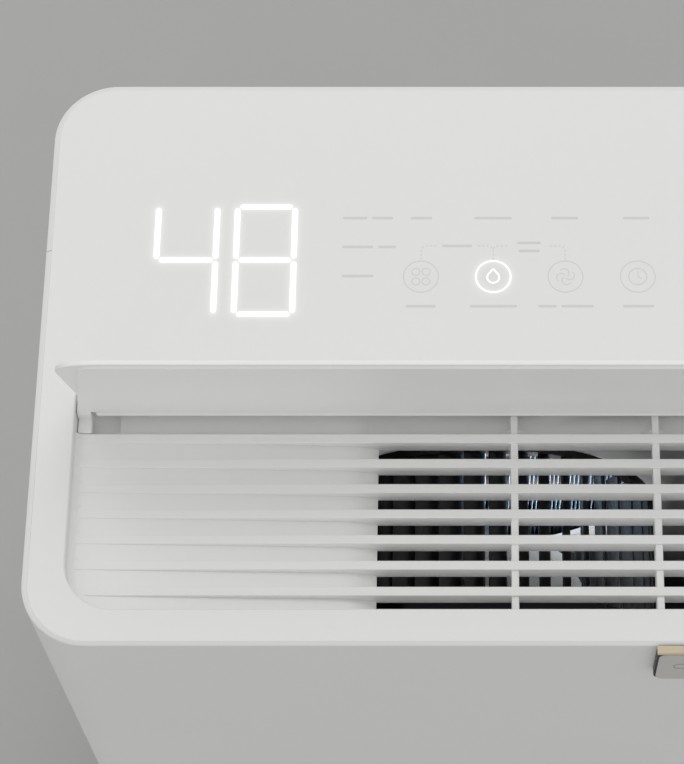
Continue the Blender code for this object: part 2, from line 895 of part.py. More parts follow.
def make_fan_housing():
    inner = scroll_line(0.0)
    outer = scroll_line(SCROLL_WALL)
    scroll = prism(
        "fan_scroll",
        [outer + inner[::-1]],
        FRONT + SCROLL_FRONT,
        FRONT + SCROLL_REAR,
        "Y",
        coat=dark_plastic(),
    )
    smooth(scroll)
    top = HEIGHT - FIN_TOP_DROP - FIN_HEIGHT - 0.0015
    left = FAN_X - scroll_radius(190.0) - 0.004
    right = FAN_X + SCROLL_END_RADIUS + SCROLL_WALL + 0.003
    foot = DECK_BOTTOM + DECK_THICKNESS + GAP
    plate_outline = [
        (left, foot),
        (right, foot),
        (right, top),
        (SLOT_LEFT - 0.006, top),
        (SLOT_LEFT - 0.006, FAN_Z + FAN_RADIUS + 0.006),
        (left, FAN_Z + 0.020),
    ]
    prism(
        "fan_front_plate",
        [plate_outline],
        FRONT + SCROLL_FRONT - GAP - 0.0020,
        FRONT + SCROLL_FRONT - GAP,
        "Y",
        coat=grey_plastic(),
    )
    eye = arc(FAN_X, FAN_Z, FAN_RADIUS - 0.012, 0, 348.75, 31)
    prism(
        "fan_rear_plate",
        [plate_outline, eye],
        FRONT + SCROLL_REAR + GAP,
        FRONT + SCROLL_REAR + GAP + 0.0020,
        "Y",
        coat=grey_plastic(),
    )


def make_fan():
    motor = cylinder(
        "fan_motor",
        (FAN_X, FRONT + (SCROLL_FRONT + MOTOR_REAR) / 2, FAN_Z),
        MOTOR_RADIUS,
        MOTOR_REAR - SCROLL_FRONT - GAP,
        "Y",
        steel(),
        32,
    )
    shaft_bore = cylinder(
        helper("shaft_bore"),
        (FAN_X, FRONT + MOTOR_REAR - 0.012, FAN_Z),
        SHAFT_RADIUS + 0.0003,
        0.030,
        "Y",
        sides=20,
        cutter=True,
    )
    cut(motor, shaft_bore)
    smooth(motor)
    shaft = cylinder(
        "fan_shaft",
        (FAN_X, FRONT + MOTOR_REAR - 0.0255 + 0.029, FAN_Z),
        SHAFT_RADIUS,
        0.058,
        "Y",
        steel(),
        20,
    )
    smooth(shaft)
    dish_rear = MOTOR_REAR + 0.010
    # Radius and distance from the front face, round the section of the dished disc.
    section = [
        (SHAFT_RADIUS + GAP, dish_rear + 0.014),
        (HUB_RADIUS, dish_rear + 0.014),
        (HUB_RADIUS, dish_rear + 0.0022),
        (MOTOR_RADIUS + 0.006, dish_rear + 0.0022),
        (FAN_RADIUS - 0.020, FAN_FRONT + 0.0022),
        (FAN_RADIUS, FAN_FRONT + 0.0022),
        (FAN_RADIUS, FAN_FRONT),
        (FAN_RADIUS - 0.022, FAN_FRONT),
        (MOTOR_RADIUS + 0.004, dish_rear),
        (SHAFT_RADIUS + GAP, dish_rear),
        (SHAFT_RADIUS + GAP, dish_rear + 0.014),
    ]
    wheel = turned("fan_wheel", section, (FAN_X, FRONT, FAN_Z), "Y", dark_plastic(), FAN_BLADES)
    ring_section = [
        (FAN_RADIUS - 0.003, FAN_REAR),
        (FAN_RADIUS + 0.0015, FAN_REAR),
        (FAN_RADIUS + 0.0015, FAN_REAR - 0.004),
        (FAN_RADIUS - 0.003, FAN_REAR - 0.004),
        (FAN_RADIUS - 0.003, FAN_REAR),
    ]
    ring = turned("wheel_ring", ring_section, (FAN_X, FRONT, FAN_Z), "Y", steps=FAN_BLADES, cutter=True)
    shape = bmesh.new()
    for index in range(FAN_BLADES):
        angle = 2 * math.pi * (index + 0.5) / FAN_BLADES
        place = Matrix.Translation((FAN_X, FRONT + (FAN_FRONT + FAN_REAR) / 2, FAN_Z))
        place = place @ Matrix.Rotation(-angle, 4, "Y")
        place = place @ Matrix.Translation((FAN_RADIUS - 0.0075, 0, 0))
        place = place @ Matrix.Rotation(math.radians(-38), 4, "Y")
        size = (0.0130, FAN_REAR - FAN_FRONT - 0.0010, 0.0014)
        bmesh.ops.create_cube(shape, size=1.0, matrix=place @ Matrix.Diagonal((*size, 1.0)))
    blades_mesh = bpy.data.meshes.new("wheel_blades")
    shape.to_mesh(blades_mesh)
    shape.free()
    blades = add_object("wheel_blades", blades_mesh, cutter=True)
    join(wheel, ring, blades)
    nut = cylinder(
        "fan_nut",
        (FAN_X, FRONT + dish_rear + 0.014 + GAP + 0.0025, FAN_Z),
        0.0075,
        0.0050,
        "Y",
        steel(),
        6,
    )
    nut_bore = cylinder(
        helper("nut_bore"),
        (FAN_X, FRONT + dish_rear + 0.014 + 0.0025, FAN_Z),
        SHAFT_RADIUS + GAP,
        0.02,
        "Y",
        sides=20,
        cutter=True,
    )
    cut(nut, nut_bore)
    for piece in (shaft, wheel, nut):
        set_origin(piece, (FAN_X, FRONT + FAN_FRONT, FAN_Z))


# ---------------------------------------------------------------- refrigeration


def fin_comb(low_x, high_x, front, rear, count):
    """Outline (X, Y) of a core slab with fins standing out on both of its sides."""
    pitch = (high_x - low_x) / count
    thickness = pitch * 0.42
    core_front = (front + rear) / 2 - 0.003
    core_rear = (front + rear) / 2 + 0.003
    near = []
    far = []
    for index in range(count):
        left = low_x + index * pitch + (pitch - thickness) / 2
        right = left + thickness
        near += [(left, core_front), (left, front), (right, front), (right, core_front)]
        far += [(left, core_rear), (left, rear), (right, rear), (right, core_rear)]
    return near + far[::-1]


def make_coil(name, from_front, depth, fins, coat):
    front = FRONT + from_front
    prism(
        name + "_fins",
        [fin_comb(-COIL_HALF_WIDTH, COIL_HALF_WIDTH, front, front + depth, fins)],
        COIL_BOTTOM,
        COIL_TOP,
        coat=coat,
    )


def make_bends(name, from_front, depth, count):
    """End plate with its hairpin bends, on the right-hand end of a coil."""
    front = FRONT + from_front
    plate_x = COIL_HALF_WIDTH + 0.0010
    plate = box(
        name + "_bends",
        (plate_x, front, COIL_BOTTOM - 0.003),
        (plate_x + 0.0012, front + depth, COIL_TOP + 0.003),
        copper(),
    )
    spacing = (COIL_TOP - COIL_BOTTOM) / count
    middle = front + depth / 2
    for index in range(count):
        low = COIL_BOTTOM + (index + 0.22) * spacing
        high = COIL_BOTTOM + (index + 0.78) * spacing
        route = bent_route(
            [
                (plate_x + 0.0004, middle, low),
                (plate_x + 0.0135, middle, low),
                (plate_x + 0.0135, middle, high),
                (plate_x + 0.0004, middle, high),
            ],
            0.0075,
            2,
        )
        join(plate, tube(f"{name}_bend_{index}", route, PIPE_RADIUS, cutter=True))


def make_coils():
    blue = material("coated_fins", (0.30, 0.45, 0.58), 0.4, 0.6)
    bare = material("bare_fins", (0.62, 0.64, 0.66), 0.35, 1.0)
    make_coil("evaporator", EVAPORATOR_FRONT, EVAPORATOR_DEPTH, 20, blue)
    make_coil("condenser", CONDENSER_FRONT, CONDENSER_DEPTH, 20, bare)
    make_bends("evaporator", EVAPORATOR_FRONT, EVAPORATOR_DEPTH, 3)
    make_bends("condenser", CONDENSER_FRONT, CONDENSER_DEPTH, 3)


def make_drip_tray():
    half = COIL_HALF_WIDTH + 0.022
    front = FRONT + EVAPORATOR_FRONT - 0.006
    rear = FRONT + CONDENSER_FRONT + CONDENSER_DEPTH + 0.006
    tray = box("drip_tray", (-half, front, TRAY_BOTTOM), (half, rear, TRAY_TOP), white_plastic())
    hollow = box(
        helper("tray_hollow"),
        (-half + 0.0025, front + 0.0025, TRAY_BOTTOM + 0.0035),
        (half - 0.0025, rear - 0.0025, 0.35),
        cutter=True,
    )
    cut(tray, hollow)
    spout = cylinder(
        "tray_spout", (0, SPOUT_Y, 0.2835), 0.0075, 0.0240, "Z", sides=20, cutter=True
    )
    bore = cylinder(
        helper("spout_bore"), (0, SPOUT_Y, 0.29), 0.0055, 0.05, "Z", sides=20, cutter=True
    )
    join(tray, spout)
    cut(tray, bore)


def make_compressor():
    x = COMPRESSOR_X
    y = COMPRESSOR_Y
    base = FLOOR_TOP + 0.0240
    radius = COMPRESSOR_RADIUS
    height = COMPRESSOR_TOP - base
    profile = [
        (0.0, height),
        (radius * 0.45, height - 0.002),
        (radius * 0.80, height - 0.012),
        (radius * 0.97, height - 0.028),
        (radius * 0.97, height * 0.62),
        (radius, height * 0.60),
        (radius, height * 0.22),
        (radius * 0.86, height * 0.06),
        (radius * 0.40, 0.004),
        (0.0, 0.004),
    ]
    shell = turned("compressor", profile, (x, y, base), "Z", black_paint(), 24)
    plate = box(
        "compressor_plate",
        (x - 0.054, y - 0.045, base),
        (x + 0.054, y + 0.045, base + 0.0060),
        cutter=True,
    )
    join(shell, plate)
    feet = ((x - 0.044, y - 0.034), (x + 0.044, y - 0.034), (x, y + 0.036))
    for index, (foot_x, foot_y) in enumerate(feet, 1):
        foot = cylinder(
            f"compressor_foot_{index}",
            (foot_x, foot_y, (FLOOR_TOP + base) / 2),
            0.0100,
            base - FLOOR_TOP - 2 * GAP,
            "Z",
            rubber(),
            20,
            top=0.0075,
        )
        smooth(foot)
    cap = box(
        "terminal_cover",
        (x - radius - 0.020, y - 0.016, base + 0.070),
        (x - radius - GAP, y + 0.016, base + 0.118),
        grey_plastic(),
    )
    bevel(cap, 0.003, 1)
    smooth(shell)


def make_pipes():
    coil_end = COIL_HALF_WIDTH + 0.0155
    evaporator_y = FRONT + EVAPORATOR_FRONT + EVAPORATOR_DEPTH / 2
    condenser_y = FRONT + CONDENSER_FRONT + CONDENSER_DEPTH / 2
    tube(
        "suction_pipe",
        bent_route(
            [
                (COMPRESSOR_X + 0.018, COMPRESSOR_Y - 0.012, COMPRESSOR_TOP + 0.0004),
                (COMPRESSOR_X + 0.018, COMPRESSOR_Y - 0.012, 0.278),
                (0.166, COMPRESSOR_Y - 0.012, 0.278),
                (0.166, COMPRESSOR_Y - 0.012, 0.318),
                (0.166, evaporator_y, 0.318),
                (0.166, evaporator_y, 0.352),
                (coil_end + 0.0032, evaporator_y, 0.352),
            ],
            0.007,
        ),
        PIPE_RADIUS,
        copper(),
    )
    tube(
        "discharge_pipe",
        bent_route(
            [
                (COMPRESSOR_X - 0.012, COMPRESSOR_Y + 0.020, COMPRESSOR_TOP - 0.0010),
                (COMPRESSOR_X - 0.012, COMPRESSOR_Y + 0.020, 0.276),
                (0.1755, COMPRESSOR_Y + 0.020, 0.276),
                (0.1755, COMPRESSOR_Y + 0.020, 0.545),
                (0.1755, condenser_y, 0.545),
                (coil_end + 0.0032, condenser_y, 0.545),
            ],
            0.007,
        ),
        DISCHARGE_RADIUS,
        copper(),
    )
    drier_x = 0.1805
    drier_y = 0.0180
    drier = turned(
        "filter_drier",
        [
            (0.0, 0.070),
            (0.0030, 0.068),
            (0.0085, 0.058),
            (0.0085, 0.014),
            (0.0030, 0.003),
            (0.0, 0.001),
        ],
        (drier_x, drier_y, 0.362),
        "Z",
        copper(),
        20,
    )
    smooth(drier)
    coil_radius = 0.0080
    turns = 3
    steps = turns * 10
    route = [Vector((drier_x, drier_y, 0.4325))]
    for step in range(steps + 1):
        angle = 2 * math.pi * step / 10
        swing = Vector((math.cos(angle), math.sin(angle), 0.0)) * coil_radius
        route.append(Vector((drier_x, drier_y, 0.4400 + 0.0006 * step)) + swing)
    route.append(Vector((drier_x, evaporator_y, 0.4720)))
    route.append(Vector((coil_end + 0.0040, evaporator_y, 0.4760)))
    tube("capillary_tube", route, 0.0013, copper())


# ---------------------------------------------------------------- lower half


def make_base_pan():
    pan = prism(
        "base_pan",
        [body_outline(WALL + GAP)],
        CASTER_HEIGHT + 0.0005,
        FLOOR_TOP,
        coat=grey_plastic(),
    )
    for index, (x, y) in enumerate(caster_places()):
        boss = cylinder(
            f"caster_boss_{index}", (x, y, FLOOR_TOP + 0.003), 0.0080, 0.0080, "Z", sides=14, cutter=True
        )
        hole = cylinder(
            helper(f"caster_hole_{index}"), (x, y, 0.045), 0.0041, 0.0180, "Z", sides=14, cutter=True
        )
        join(pan, boss)
        cut(pan, hole)
    for side in (-1, 1):
        low, high = sorted((side * 0.118, side * 0.124))
        skid = box(
            f"bucket_skid_{side}",
            (low, FRONT + 0.012, FLOOR_TOP - 0.001),
            (high, FRONT + BUCKET_DEPTH, BUCKET_BOTTOM - GAP),
            cutter=True,
        )
        join(pan, skid)


def make_inner_frame():
    """Deck under the fan and coils with the wall that closes the bucket bay behind."""
    half = WIDTH / 2 - WALL - 0.0006
    wall_y = FRONT + PARTITION_FROM_FRONT
    deck_top = DECK_BOTTOM + DECK_THICKNESS
    deck = prism(
        "inner_frame",
        [body_outline(WALL + 0.0006)],
        DECK_BOTTOM,
        deck_top,
        coat=grey_plastic(),
    )
    wall = box(
        "partition",
        (-half + 0.001, wall_y, FLOOR_TOP + GAP),
        (half - 0.001, wall_y + PARTITION_THICKNESS, DECK_BOTTOM + 0.001),
        cutter=True,
    )
    join(deck, wall)
    for side in (-1, 1):
        low, high = sorted((side * 0.1600, side * 0.1625))
        join(
            deck,
            box(
                f"bucket_rail_{side}",
                (low, FRONT + 0.012, 0.200),
                (high, wall_y + 0.001, DECK_BOTTOM + 0.001),
                cutter=True,
            ),
        )
    spout_hole = cylinder(
        helper("spout_hole"), (0, SPOUT_Y, DECK_BOTTOM), 0.0095, 0.02, "Z", sides=20, cutter=True
    )
    pipe_hole = box(
        helper("pipe_hole"), (0.152, 0.045, DECK_BOTTOM - 0.01), (0.184, 0.106, deck_top + 0.01),
        cutter=True,
    )
    cut(deck, spout_hole, pipe_hole)


def make_electronics():
    low = Vector((-0.170, 0.030, 0.0560))
    high = Vector((-0.030, 0.122, 0.200))
    case = box("electronics_box", low, high, grey_plastic())
    hollow = box(
        helper("electronics_hollow"),
        (low.x + 0.002, low.y + 0.002, low.z + 0.002),
        (high.x - 0.002, high.y - 0.002, high.z + 0.01),
        cutter=True,
    )
    cut(case, hollow)
    board = box(
        "main_board",
        (low.x + 0.006, low.y + 0.012, low.z + 0.004),
        (high.x - 0.006, low.y + 0.0136, high.z - 0.010),
        material("circuit_board", (0.05, 0.16, 0.09), 0.5),
    )
    blocks = (
        (-0.150, 0.075, 0.030, 0.034, 0.026),
        (-0.105, 0.080, 0.024, 0.024, 0.018),
        (-0.062, 0.085, 0.022, 0.040, 0.020),
        (-0.120, 0.140, 0.050, 0.020, 0.014),
    )
    for index, (x, z, width, height, depth) in enumerate(blocks):
        join(
            board,
            box(
                f"board_block_{index}",
                (x, low.y + 0.013, z),
                (x + width, low.y + 0.0136 + depth, z + height),
                cutter=True,
            ),
        )
    capacitor = cylinder(
        "run_capacitor", (-0.075, 0.095, low.z + 0.0325), 0.017, 0.060, "Z",
        material("aluminium_can", (0.7, 0.7, 0.72), 0.3, 1.0), 24,
    )
    smooth(capacitor)


def make_bucket():
    front = FRONT + 0.0048
    back = FRONT + BUCKET_DEPTH
    outline = rounded_rectangle(
        -BUCKET_HALF_WIDTH, front, BUCKET_HALF_WIDTH, back, (0.010, 0.010, 0.018, 0.018), 4
    )
    inner = rounded_rectangle(
        -BUCKET_HALF_WIDTH + BUCKET_WALL,
        front + BUCKET_WALL,
        BUCKET_HALF_WIDTH - BUCKET_WALL,
        back - BUCKET_WALL,
        (0.008, 0.008, 0.0156, 0.0156),
        4,
    )
    bucket = prism(
        "water_bucket", [outline], BUCKET_BOTTOM, BUCKET_TOP,
        coat=material("clear_grey_plastic", (0.45, 0.47, 0.50), 0.3),
    )
    hollow = prism(
        helper("bucket_hollow"), [inner], BUCKET_BOTTOM + BUCKET_WALL, BUCKET_TOP + 0.01, cutter=True
    )
    cut(bucket, hollow)
    for side in (-1, 1):
        low, high = sorted((side * 0.0135, side * 0.0165))
        lug = box(
            f"float_lug_{side}",
            (FLOAT_X + low, back - BUCKET_WALL - 0.012, FLOAT_PIVOT_Z - 0.006),
            (FLOAT_X + high, back - 0.001, FLOAT_PIVOT_Z + 0.006),
            cutter=True,
        )
        join(bucket, lug)
    pivot_y = back - BUCKET_WALL - 0.007
    bore = cylinder(
        helper("float_bore"), (FLOAT_X, pivot_y, FLOAT_PIVOT_Z), 0.0017, 0.040, "X", sides=16,
        cutter=True,
    )
    cut(bucket, bore)
    arm = box(
        "bucket_float",
        (FLOAT_X - 0.005, pivot_y - 0.030, FLOAT_PIVOT_Z - 0.0025),
        (FLOAT_X + 0.005, pivot_y + 0.0025, FLOAT_PIVOT_Z + 0.0025),
        material("float_foam", (0.85, 0.85, 0.83), 0.8),
    )
    block = box(
        "float_block",
        (FLOAT_X - 0.030, pivot_y - 0.066, FLOAT_PIVOT_Z - 0.020),
        (FLOAT_X + 0.030, pivot_y - 0.026, FLOAT_PIVOT_Z + 0.0035),
        cutter=True,
    )
    pin = cylinder(
        "float_pin", (FLOAT_X, pivot_y, FLOAT_PIVOT_Z), 0.0014, 0.0325, "X", sides=16, cutter=True
    )
    join(arm, block, pin)
    for piece in (arm, block, pin):
        set_origin(piece, (FLOAT_X, pivot_y, FLOAT_PIVOT_Z))
    make_bucket_cover()
    lid_hole = arc(0, SPOUT_Y - 0.004, 0.0125, 0, 337.5, 15)
    pour_hole = rectangle(-0.145, front + 0.006, -0.095, front + 0.050)
    prism(
        "bucket_lid",
        [
            rounded_rectangle(
                -BUCKET_HALF_WIDTH, front, BUCKET_HALF_WIDTH, back, (0.010, 0.010, 0.018, 0.018), 4
            ),
            lid_hole,
            pour_hole,
        ],
        BUCKET_TOP + GAP,
        BUCKET_TOP + GAP + 0.0022,
        coat=grey_plastic(),
    )
    partition_rear = FRONT + PARTITION_FROM_FRONT + PARTITION_THICKNESS
    switch = box(
        "bucket_switch",
        (FLOAT_X - 0.010, partition_rear + GAP, FLOAT_PIVOT_Z - 0.010),
        (FLOAT_X + 0.010, partition_rear + 0.0065, FLOAT_PIVOT_Z + 0.010),
        dark_plastic(),
    )
    bevel(switch, 0.001, 1)


def make_bucket_cover():
    """Front of the bucket, flush with the casing, with a finger pocket under its top edge."""
    cover = box(
        "bucket_front",
        (-BUCKET_COVER_HALF_WIDTH, FRONT, BUCKET_COVER_BOTTOM),
        (BUCKET_COVER_HALF_WIDTH, FRONT + 0.0045, BUCKET_COVER_TOP),
        white_plastic(),
    )
    pocket_shell = box(
        "pocket_shell",
        (-0.062, FRONT + 0.001, BUCKET_TOP + 0.0045),
        (0.062, FRONT + 0.0300, BUCKET_COVER_TOP - 0.0002),
        cutter=True,
    )
    pocket = box(
        helper("finger_pocket"),
        (-0.060, FRONT - 0.01, BUCKET_TOP + 0.0065),
        (0.060, FRONT + 0.0280, BUCKET_COVER_TOP + 0.01),
        cutter=True,
    )
    join(cover, pocket_shell)
    cut(cover, pocket)


# ---------------------------------------------------------------- rear and sides


def make_filter():
    """Rear grille that carries the mesh and pulls straight out to the rear."""
    height = FILTER_TOP - FILTER_BOTTOM
    pitch = (height - 0.030) / INTAKE_SLOTS
    slots = []
    for row in range(INTAKE_SLOTS):
        low = FILTER_BOTTOM + 0.015 + row * pitch + pitch * 0.22
        for left, right in ((-0.124, -0.0445), (-0.0395, 0.0395), (0.0445, 0.124)):
            slots.append(rectangle(left, low, right, low + pitch * 0.56))
    frame = prism(
        "filter_frame",
        [
            rounded_rectangle(
                -FILTER_HALF_WIDTH, FILTER_BOTTOM, FILTER_HALF_WIDTH, FILTER_TOP, [0.002] * 4, 2
            ),
            *slots,
        ],
        REAR - 0.0050,
        REAR - 0.0010,
        "Y",
        coat=white_plastic(),
    )
    tab = box(
        "filter_tab",
        (-0.022, REAR - 0.0015, FILTER_TOP - 0.0105),
        (0.022, REAR + 0.0035, FILTER_TOP - 0.0070),
        cutter=True,
    )
    join(frame, tab)
    prism(
        "filter_mesh",
        [rectangle(-0.128, FILTER_BOTTOM + 0.010, 0.128, FILTER_TOP - 0.010)],
        REAR - 0.0070,
        REAR - 0.0050 - GAP,
        "Y",
        coat=material("filter_fabric", (0.10, 0.11, 0.12), 0.9),
    )


def make_rear_fittings():
    """Drain spigot with its cap, and the empty gland where the mains lead comes in."""
    port = turned(
        "drain_port",
        [
            (0.0060, 0.0),
            (0.0060, -0.0022),
            (0.0080, -0.0022),
            (0.0080, -0.0040),
            (DRAIN_RADIUS, -0.0040),
            (DRAIN_RADIUS, -0.0085),
            (0.0080, -0.0085),
            (0.0080, -0.0400),
            (0.0045, -0.0400),
            (0.0045, 0.0),
            (0.0060, 0.0),
        ],
        (DRAIN_X, REAR + 0.0010, DRAIN_Z),
        "Y",
        grey_plastic(),
        18,
    )
    smooth(port)
    cap = turned(
        "drain_cap",
        [
            (0.0, BADGE_PROUD),
            (0.0130, BADGE_PROUD),
            (0.0140, BADGE_PROUD - 0.001),
            (0.0140, 0.0016),
            (0.0036, 0.0016),
            (0.0036, -0.0060),
            (0.0, -0.0060),
        ],
        (DRAIN_X, REAR, DRAIN_Z),
        "Y",
        rubber(),
        24,
    )
    smooth(cap)
    gland = turned(
        "cord_inlet",
        [
            (0.0034, 0.0030),
            (0.0070, 0.0030),
            (0.0115, 0.0010),
            (0.0115, GAP),
            (CORD_RADIUS, GAP),
            (CORD_RADIUS, -0.0060),
            (0.0034, -0.0060),
            (0.0034, 0.0030),
        ],
        (CORD_X, REAR, CORD_Z),
        "Y",
        rubber(),
        18,
    )
    smooth(gland)


def make_grips():
    for side, name in ((-1, "left"), (1, "right")):
        low, high = sorted((side * (WIDTH / 2 - GRIP_DEPTH), side * (WIDTH / 2 - 0.0004)))
        outline = rounded_rectangle(
            GRIP_Y - GRIP_HALF_LENGTH,
            GRIP_BOTTOM,
            GRIP_Y + GRIP_HALF_LENGTH,
            GRIP_TOP,
            [0.012] * 4,
            4,
        )
        pocket = rounded_rectangle(
            GRIP_Y - GRIP_HALF_LENGTH + 0.002,
            GRIP_BOTTOM + 0.002,
            GRIP_Y + GRIP_HALF_LENGTH - 0.002,
            GRIP_TOP - 0.002,
            [0.010] * 4,
            4,
        )
        grip = prism("grip_" + name, [outline], low, high, "X", coat=grey_plastic())
        floor, mouth = sorted((side * (WIDTH / 2 - GRIP_DEPTH + 0.002), side * (WIDTH / 2 + 0.01)))
        cut(grip, prism(helper("pocket_" + name), [pocket], floor, mouth, "X", cutter=True))
        smooth(grip)


# ---------------------------------------------------------------- casters


def caster_places():
    return [(x, y) for y in (-CASTER_Y, CASTER_Y) for x in (-CASTER_X, CASTER_X)]


def make_caster(name, x, y):
    """A fork on a swivel stem, trailing its wheel towards the rear, with the wheel and axle."""
    wheel_y = y + CASTER_TRAIL
    cheek_inner = WHEEL_WIDTH / 2 + 0.0008
    cheek_outer = cheek_inner + 0.0025
    crown_bottom = 2 * WHEEL_RADIUS + 0.0018
    fork = box(
        "caster_fork_" + name,
        (x - cheek_outer, y - 0.009, crown_bottom),
        (x + cheek_outer, wheel_y + 0.009, crown_bottom + 0.0035),
        dark_plastic(),
    )
    stem = cylinder(
        "stem_" + name, (x, y, crown_bottom + 0.0105), 0.0036, 0.0170, "Z", sides=14, cutter=True
    )
    join(fork, stem)
    for side in (-1, 1):
        low, high = sorted((side * cheek_inner, side * cheek_outer))
        cheek = prism(
            f"cheek_{name}_{side}",
            [
                [
                    (y - 0.008, crown_bottom + 0.001),
                    *arc(wheel_y, WHEEL_RADIUS, 0.0055, 200, 340, 6),
                    (wheel_y + 0.008, crown_bottom + 0.001),
                ]
            ],
            x + low,
            x + high,
            "X",
            cutter=True,
        )
        join(fork, cheek)
    hole = cylinder(
        helper("axle_hole_" + name), (x, wheel_y, WHEEL_RADIUS), 0.0023, 0.05, "X", sides=14,
        cutter=True,
    )
    cut(fork, hole)
    half = WHEEL_WIDTH / 2
    wheel = turned(
        "caster_wheel_" + name,
        [
            (0.0024, half),
            (WHEEL_RADIUS - 0.0020, half),
            (WHEEL_RADIUS, half - 0.0020),
            (WHEEL_RADIUS, -half + 0.0020),
            (WHEEL_RADIUS - 0.0020, -half),
            (0.0024, -half),
            (0.0024, half),
        ],
        (x, wheel_y, WHEEL_RADIUS),
        "X",
        rubber(),
        24,
    )
    smooth(wheel)
    axle = cylinder(
        "caster_axle_" + name, (x, wheel_y, WHEEL_RADIUS), 0.0020, 2 * cheek_outer + 0.001, "X",
        steel(), 14,
    )
    smooth(axle)


# ---------------------------------------------------------------- build

clear_scene()
PARTS = collection_named("dehumidifier")
CUTTERS = collection_named("cutters", helper=True)

make_front_casing()
make_rear_casing()
make_top_panel()
make_outlet_grille()
make_outlet_flap()
make_badge()
make_control_parts()
make_fan_housing()
make_fan()
make_coils()
make_drip_tray()
make_compressor()
make_pipes()
make_base_pan()
make_inner_frame()
make_electronics()
make_bucket()
make_filter()
make_rear_fittings()
make_grips()
for caster_name, (caster_x, caster_y) in zip(CASTER_NAMES, caster_places()):
    make_caster(caster_name, caster_x, caster_y)
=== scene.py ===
"""Looks of the cabinet dehumidifier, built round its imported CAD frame.

Metres, +Z up, front at -Y. Every place comes from the frame's boxes. Fine pieces replace the
plain CAD nodes that show, and the nodes that stay take their finish from the same materials.
"""

import json
import math

import bmesh
import bpy
from mathutils import Matrix, Vector

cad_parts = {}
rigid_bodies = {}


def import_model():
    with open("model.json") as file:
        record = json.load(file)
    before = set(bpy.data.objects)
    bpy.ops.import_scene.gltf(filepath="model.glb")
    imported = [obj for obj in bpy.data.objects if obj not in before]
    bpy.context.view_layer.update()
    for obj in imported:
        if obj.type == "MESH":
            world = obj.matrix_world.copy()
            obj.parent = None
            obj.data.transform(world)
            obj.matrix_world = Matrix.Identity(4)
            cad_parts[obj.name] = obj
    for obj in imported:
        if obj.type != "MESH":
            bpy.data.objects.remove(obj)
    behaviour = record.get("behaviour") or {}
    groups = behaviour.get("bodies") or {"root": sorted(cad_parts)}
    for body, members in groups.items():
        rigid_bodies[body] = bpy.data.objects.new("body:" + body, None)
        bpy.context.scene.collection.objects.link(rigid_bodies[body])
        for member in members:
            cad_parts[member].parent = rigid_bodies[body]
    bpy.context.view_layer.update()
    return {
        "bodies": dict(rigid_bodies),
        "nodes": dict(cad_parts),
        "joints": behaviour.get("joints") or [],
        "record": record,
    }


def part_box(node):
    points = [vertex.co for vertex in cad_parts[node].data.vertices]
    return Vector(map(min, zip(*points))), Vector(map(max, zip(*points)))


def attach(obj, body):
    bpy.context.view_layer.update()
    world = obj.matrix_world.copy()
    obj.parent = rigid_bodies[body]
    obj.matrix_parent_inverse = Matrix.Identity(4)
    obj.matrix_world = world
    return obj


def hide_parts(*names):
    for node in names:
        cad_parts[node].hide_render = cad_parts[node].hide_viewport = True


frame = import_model()

# ---------------------------------------------------------------- places read from the frame

CASING_LOW, CASING_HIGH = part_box("front_casing")
PANEL_LOW, PANEL_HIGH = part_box("top_panel")
REAR_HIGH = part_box("rear_casing")[1]
TOP = PANEL_HIGH.z
FRONT = CASING_LOW.y
REAR = REAR_HIGH.y
HALF_WIDTH = CASING_HIGH.x
BOTTOM = CASING_LOW.z
SEAM = CASING_HIGH.y
JOINTS = {joint["name"]: joint for joint in frame["joints"]}

# Shape of the shell, in the same terms as the CAD
CORNER = 0.0295
RIM_SIDE = 0.0025
RIM_REAR = 0.0025
RIM_FRONT = 0.0014
RIM_DROP = 0.0014
RIM_LIP = 0.0003
PANEL_GAP = 0.00004
INSERT_GAP = 0.00004
SMALL_GAP = 0.0003
ROUND_STEPS = 20
SHARP_ANGLE = 40.0

# Air outlet, measured back from the front face and down from the top
OUTLET_HALF = 0.179
OUTLET_FRONT = 0.0168
OUTLET_REAR = 0.1240
OUTLET_CORNER = 0.022
OUTLET_EDGE = 0.0009
FILLET_RADIUS = 0.0046
SKIRT_WALL = 0.0022
SKIRT_DEPTH = 0.012
FIN_COUNT = 7
FIN_PITCH = 0.0123
FIN_THICKNESS = 0.0043
REAR_FIN_CENTRE = 0.10225
FIN_EDGE = 0.0005
FIN_TOP_DROP = 0.010
FIN_HEIGHT = 0.0095
LAP_DROP = 0.0045
LAP_LEFT = -0.181
SLOT_LEFT = -0.0415
SLOT_RIGHT = 0.166
RAMP_LENGTH = 0.0165
RIB_FIRST = 0.0206
RIB_PITCH = 0.0646
RIB_COUNT = 3
RIB_WIDTH = 0.0034
RIB_EDGE = 0.0006
RIB_DROP = 0.0015

# Flap
FLAP_HINGE = Vector(JOINTS["flap_hinge"]["pos_m"])
FLAP_OPEN = JOINTS["flap_hinge"]["range_deg"][1]
FLAP_THICKNESS = 0.0022
FLAP_SIDE_GAP = 0.0019
FLAP_FRONT_GAP = 0.0034
FLAP_NECK = 0.1700
FLAP_SHOULDER = 0.0055
FLAP_CORNER = 0.0200
FLAP_HUB = 0.0036
FLAP_HUB_GAP = 0.0046
FLAP_PIN = 0.0015
FLAP_TIP_MARGIN = 0.0028
FLAP_SWEEP_LENGTH = 0.0220
FLAP_SWEEP_INNER = 0.1702
FLAP_TIP_SHOULDER = 0.0105
FLAP_TIP_STEP = 0.0011
PIVOT_INNER = 0.1722
PIVOT_OUTER = 0.1788

